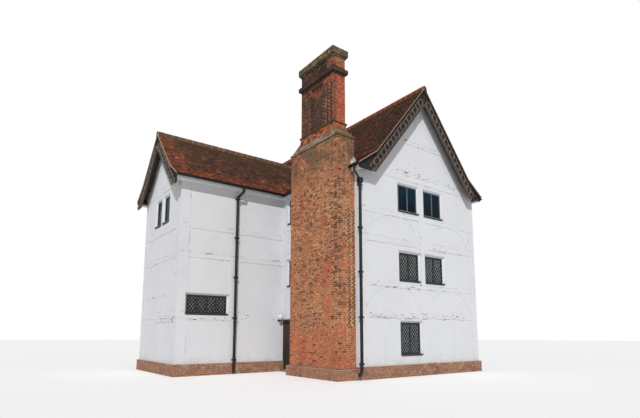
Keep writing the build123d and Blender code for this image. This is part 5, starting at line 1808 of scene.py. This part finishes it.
class HOUSE_OT_mortar(bpy.types.Operator):
    """Point the stack against the roof with mortar fillets"""
    bl_idname = "house.mortar"
    bl_label = "Mortar fillets"

    def execute(self, context):
        pile = Pile()
        rng = random.Random(FILLET_SEED)
        self.fillet(pile, NEAR + STACK_NEAR, -1, rng)
        self.fillet(pile, NEAR + STACK_FAR, 1, rng)
        pile.make("stack_fillets", bed_mortar(), "lead")
        return {"FINISHED"}

    def fillet(self, pile, y, way, rng, steps=14):
        """A lumpy wedge between the stack's side and the slope above the eaves."""
        rings = []
        for i in range(steps + 1):
            h = -RANGE_ROOF.edge + 0.02 + (EAVES_OUT - 0.02) * i / steps
            size = 0.08 + 0.12 * rng.random()
            foot = Vector((RIDGE_X + h, y, RANGE_ROOF.height(h)))
            outline = ((-0.01, -0.02), (-0.01, size * 1.5), (size * 0.35, size), (size, 0.01))
            rings.append([foot + Vector((0, way * d, rise)) for d, rise in outline])
        pile.loft(rings)


class HOUSE_OT_stage(bpy.types.Operator):
    """Lay the floor, light it softly and stand the camera where the photograph was taken"""
    bl_idname = "house.stage"
    bl_label = "Stage"

    def execute(self, context):
        scene = context.scene
        st = scene.house_stage
        self.floor(tuple(st.floor))
        self.sky(scene, st.sky)
        lamp = bpy.data.lights.new("key", "SUN")
        lamp.energy = st.key
        lamp.angle = st.key_spread
        key = bpy.data.objects.new("key", lamp)
        key.rotation_mode = "QUATERNION"
        key.rotation_quaternion = Vector(SUN).to_track_quat("Z", "Y")
        scene.collection.objects.link(key)
        self.camera(scene)
        scene.view_settings.view_transform = "Standard"
        return {"FINISHED"}

    def floor(self, colour):
        f = Finish("studio_floor")
        f.base = f.mix(f.noise(0.6, 3) * 0.1, colour, tuple(0.94 * v for v in colour))
        pile = Pile()
        r = FLOOR_RADIUS
        ring = [(r * math.cos(a), r * math.sin(a), FLOOR_LEVEL) for a in turn(FLOOR_SIDES)]
        pile.add(ring, [tuple(range(FLOOR_SIDES))])
        pile.shape("studio_floor", f.surface(0.9))

    def sky(self, scene, strength):
        """White for the camera and for reflections, softer as light."""
        world = bpy.data.worlds.new("studio")
        scene.world = world
        world.use_nodes = True
        n = Nodes(world.node_tree)
        seen = reduce(Link.highest, (
            n.node("ShaderNodeLightPath", output=f"Is {ray} Ray")
            for ray in ("Camera", "Glossy", "Transmission")))
        soft, white = (
            n.node("ShaderNodeBackground", {}, {"Color": (1, 1, 1, 1), "Strength": power})
            for power in (strength, 1.0))
        both = n.node("ShaderNodeMixShader", {}, {0: seen, 1: soft, 2: white})
        n.node("ShaderNodeOutputWorld", {}, {"Surface": both})

    def camera(self, scene):
        data = bpy.data.cameras.new("camera")
        data.sensor_width = SENSOR
        data.lens = FOCAL_PIXELS * SENSOR / PICTURE_WIDE
        data.shift_x = (PICTURE_WIDE / 2 - AXIS_ACROSS) / PICTURE_WIDE
        data.shift_y = (AXIS_DOWN - PICTURE_HIGH / 2) / PICTURE_WIDE
        data.clip_end = CLIP_END
        camera = bpy.data.objects.new("camera", data)
        camera.location = Vector(CAMERA_SPOT) + Vector((LEFT, NEAR, 0))
        ahead = Vector((math.sin(CAMERA_YAW) * math.cos(CAMERA_PITCH),
                        math.cos(CAMERA_YAW) * math.cos(CAMERA_PITCH), math.sin(CAMERA_PITCH)))
        camera.rotation_mode = "QUATERNION"
        roll = Quaternion((0, 0, 1), -CAMERA_ROLL)
        camera.rotation_quaternion = ahead.to_track_quat("-Z", "Y") @ roll
        scene.collection.objects.link(camera)
        scene.camera = camera


class HOUSE_PT_panel(bpy.types.Panel):
    """The house's pieces in the sidebar"""
    bl_idname = "HOUSE_PT_panel"
    bl_label = "House"
    bl_space_type = "VIEW_3D"
    bl_region_type = "UI"
    bl_category = "House"

    def draw(self, context):
        for operator in OPERATORS:
            self.layout.operator(operator.bl_idname)
        for key, group in SETTING_GROUPS.items():
            box = self.layout.box()
            box.label(text=group.__doc__)
            for name in group.__annotations__:
                box.prop(getattr(context.scene, key), name)


OPERATORS = (
    HOUSE_OT_finishes, HOUSE_OT_tiles, HOUSE_OT_ridges, HOUSE_OT_bricks, HOUSE_OT_windows,
    HOUSE_OT_carving, HOUSE_OT_wear, HOUSE_OT_rainwater, HOUSE_OT_door, HOUSE_OT_mortar, HOUSE_OT_stage,
)


CLASSES = (*SETTING_GROUPS.values(), *OPERATORS, HOUSE_PT_panel)


def register():
    for item in CLASSES:
        bpy.utils.register_class(item)
    for name, group in SETTING_GROUPS.items():
        setattr(bpy.types.Scene, name, bpy.props.PointerProperty(type=group))


def unregister():
    for name in SETTING_GROUPS:
        delattr(bpy.types.Scene, name)
    for item in reversed(CLASSES):
        bpy.utils.unregister_class(item)


def main():
    register()
    for operator in OPERATORS:
        group, name = operator.bl_idname.split(".")
        getattr(getattr(bpy.ops, group), name)()


if __name__ == "__main__":
    main()
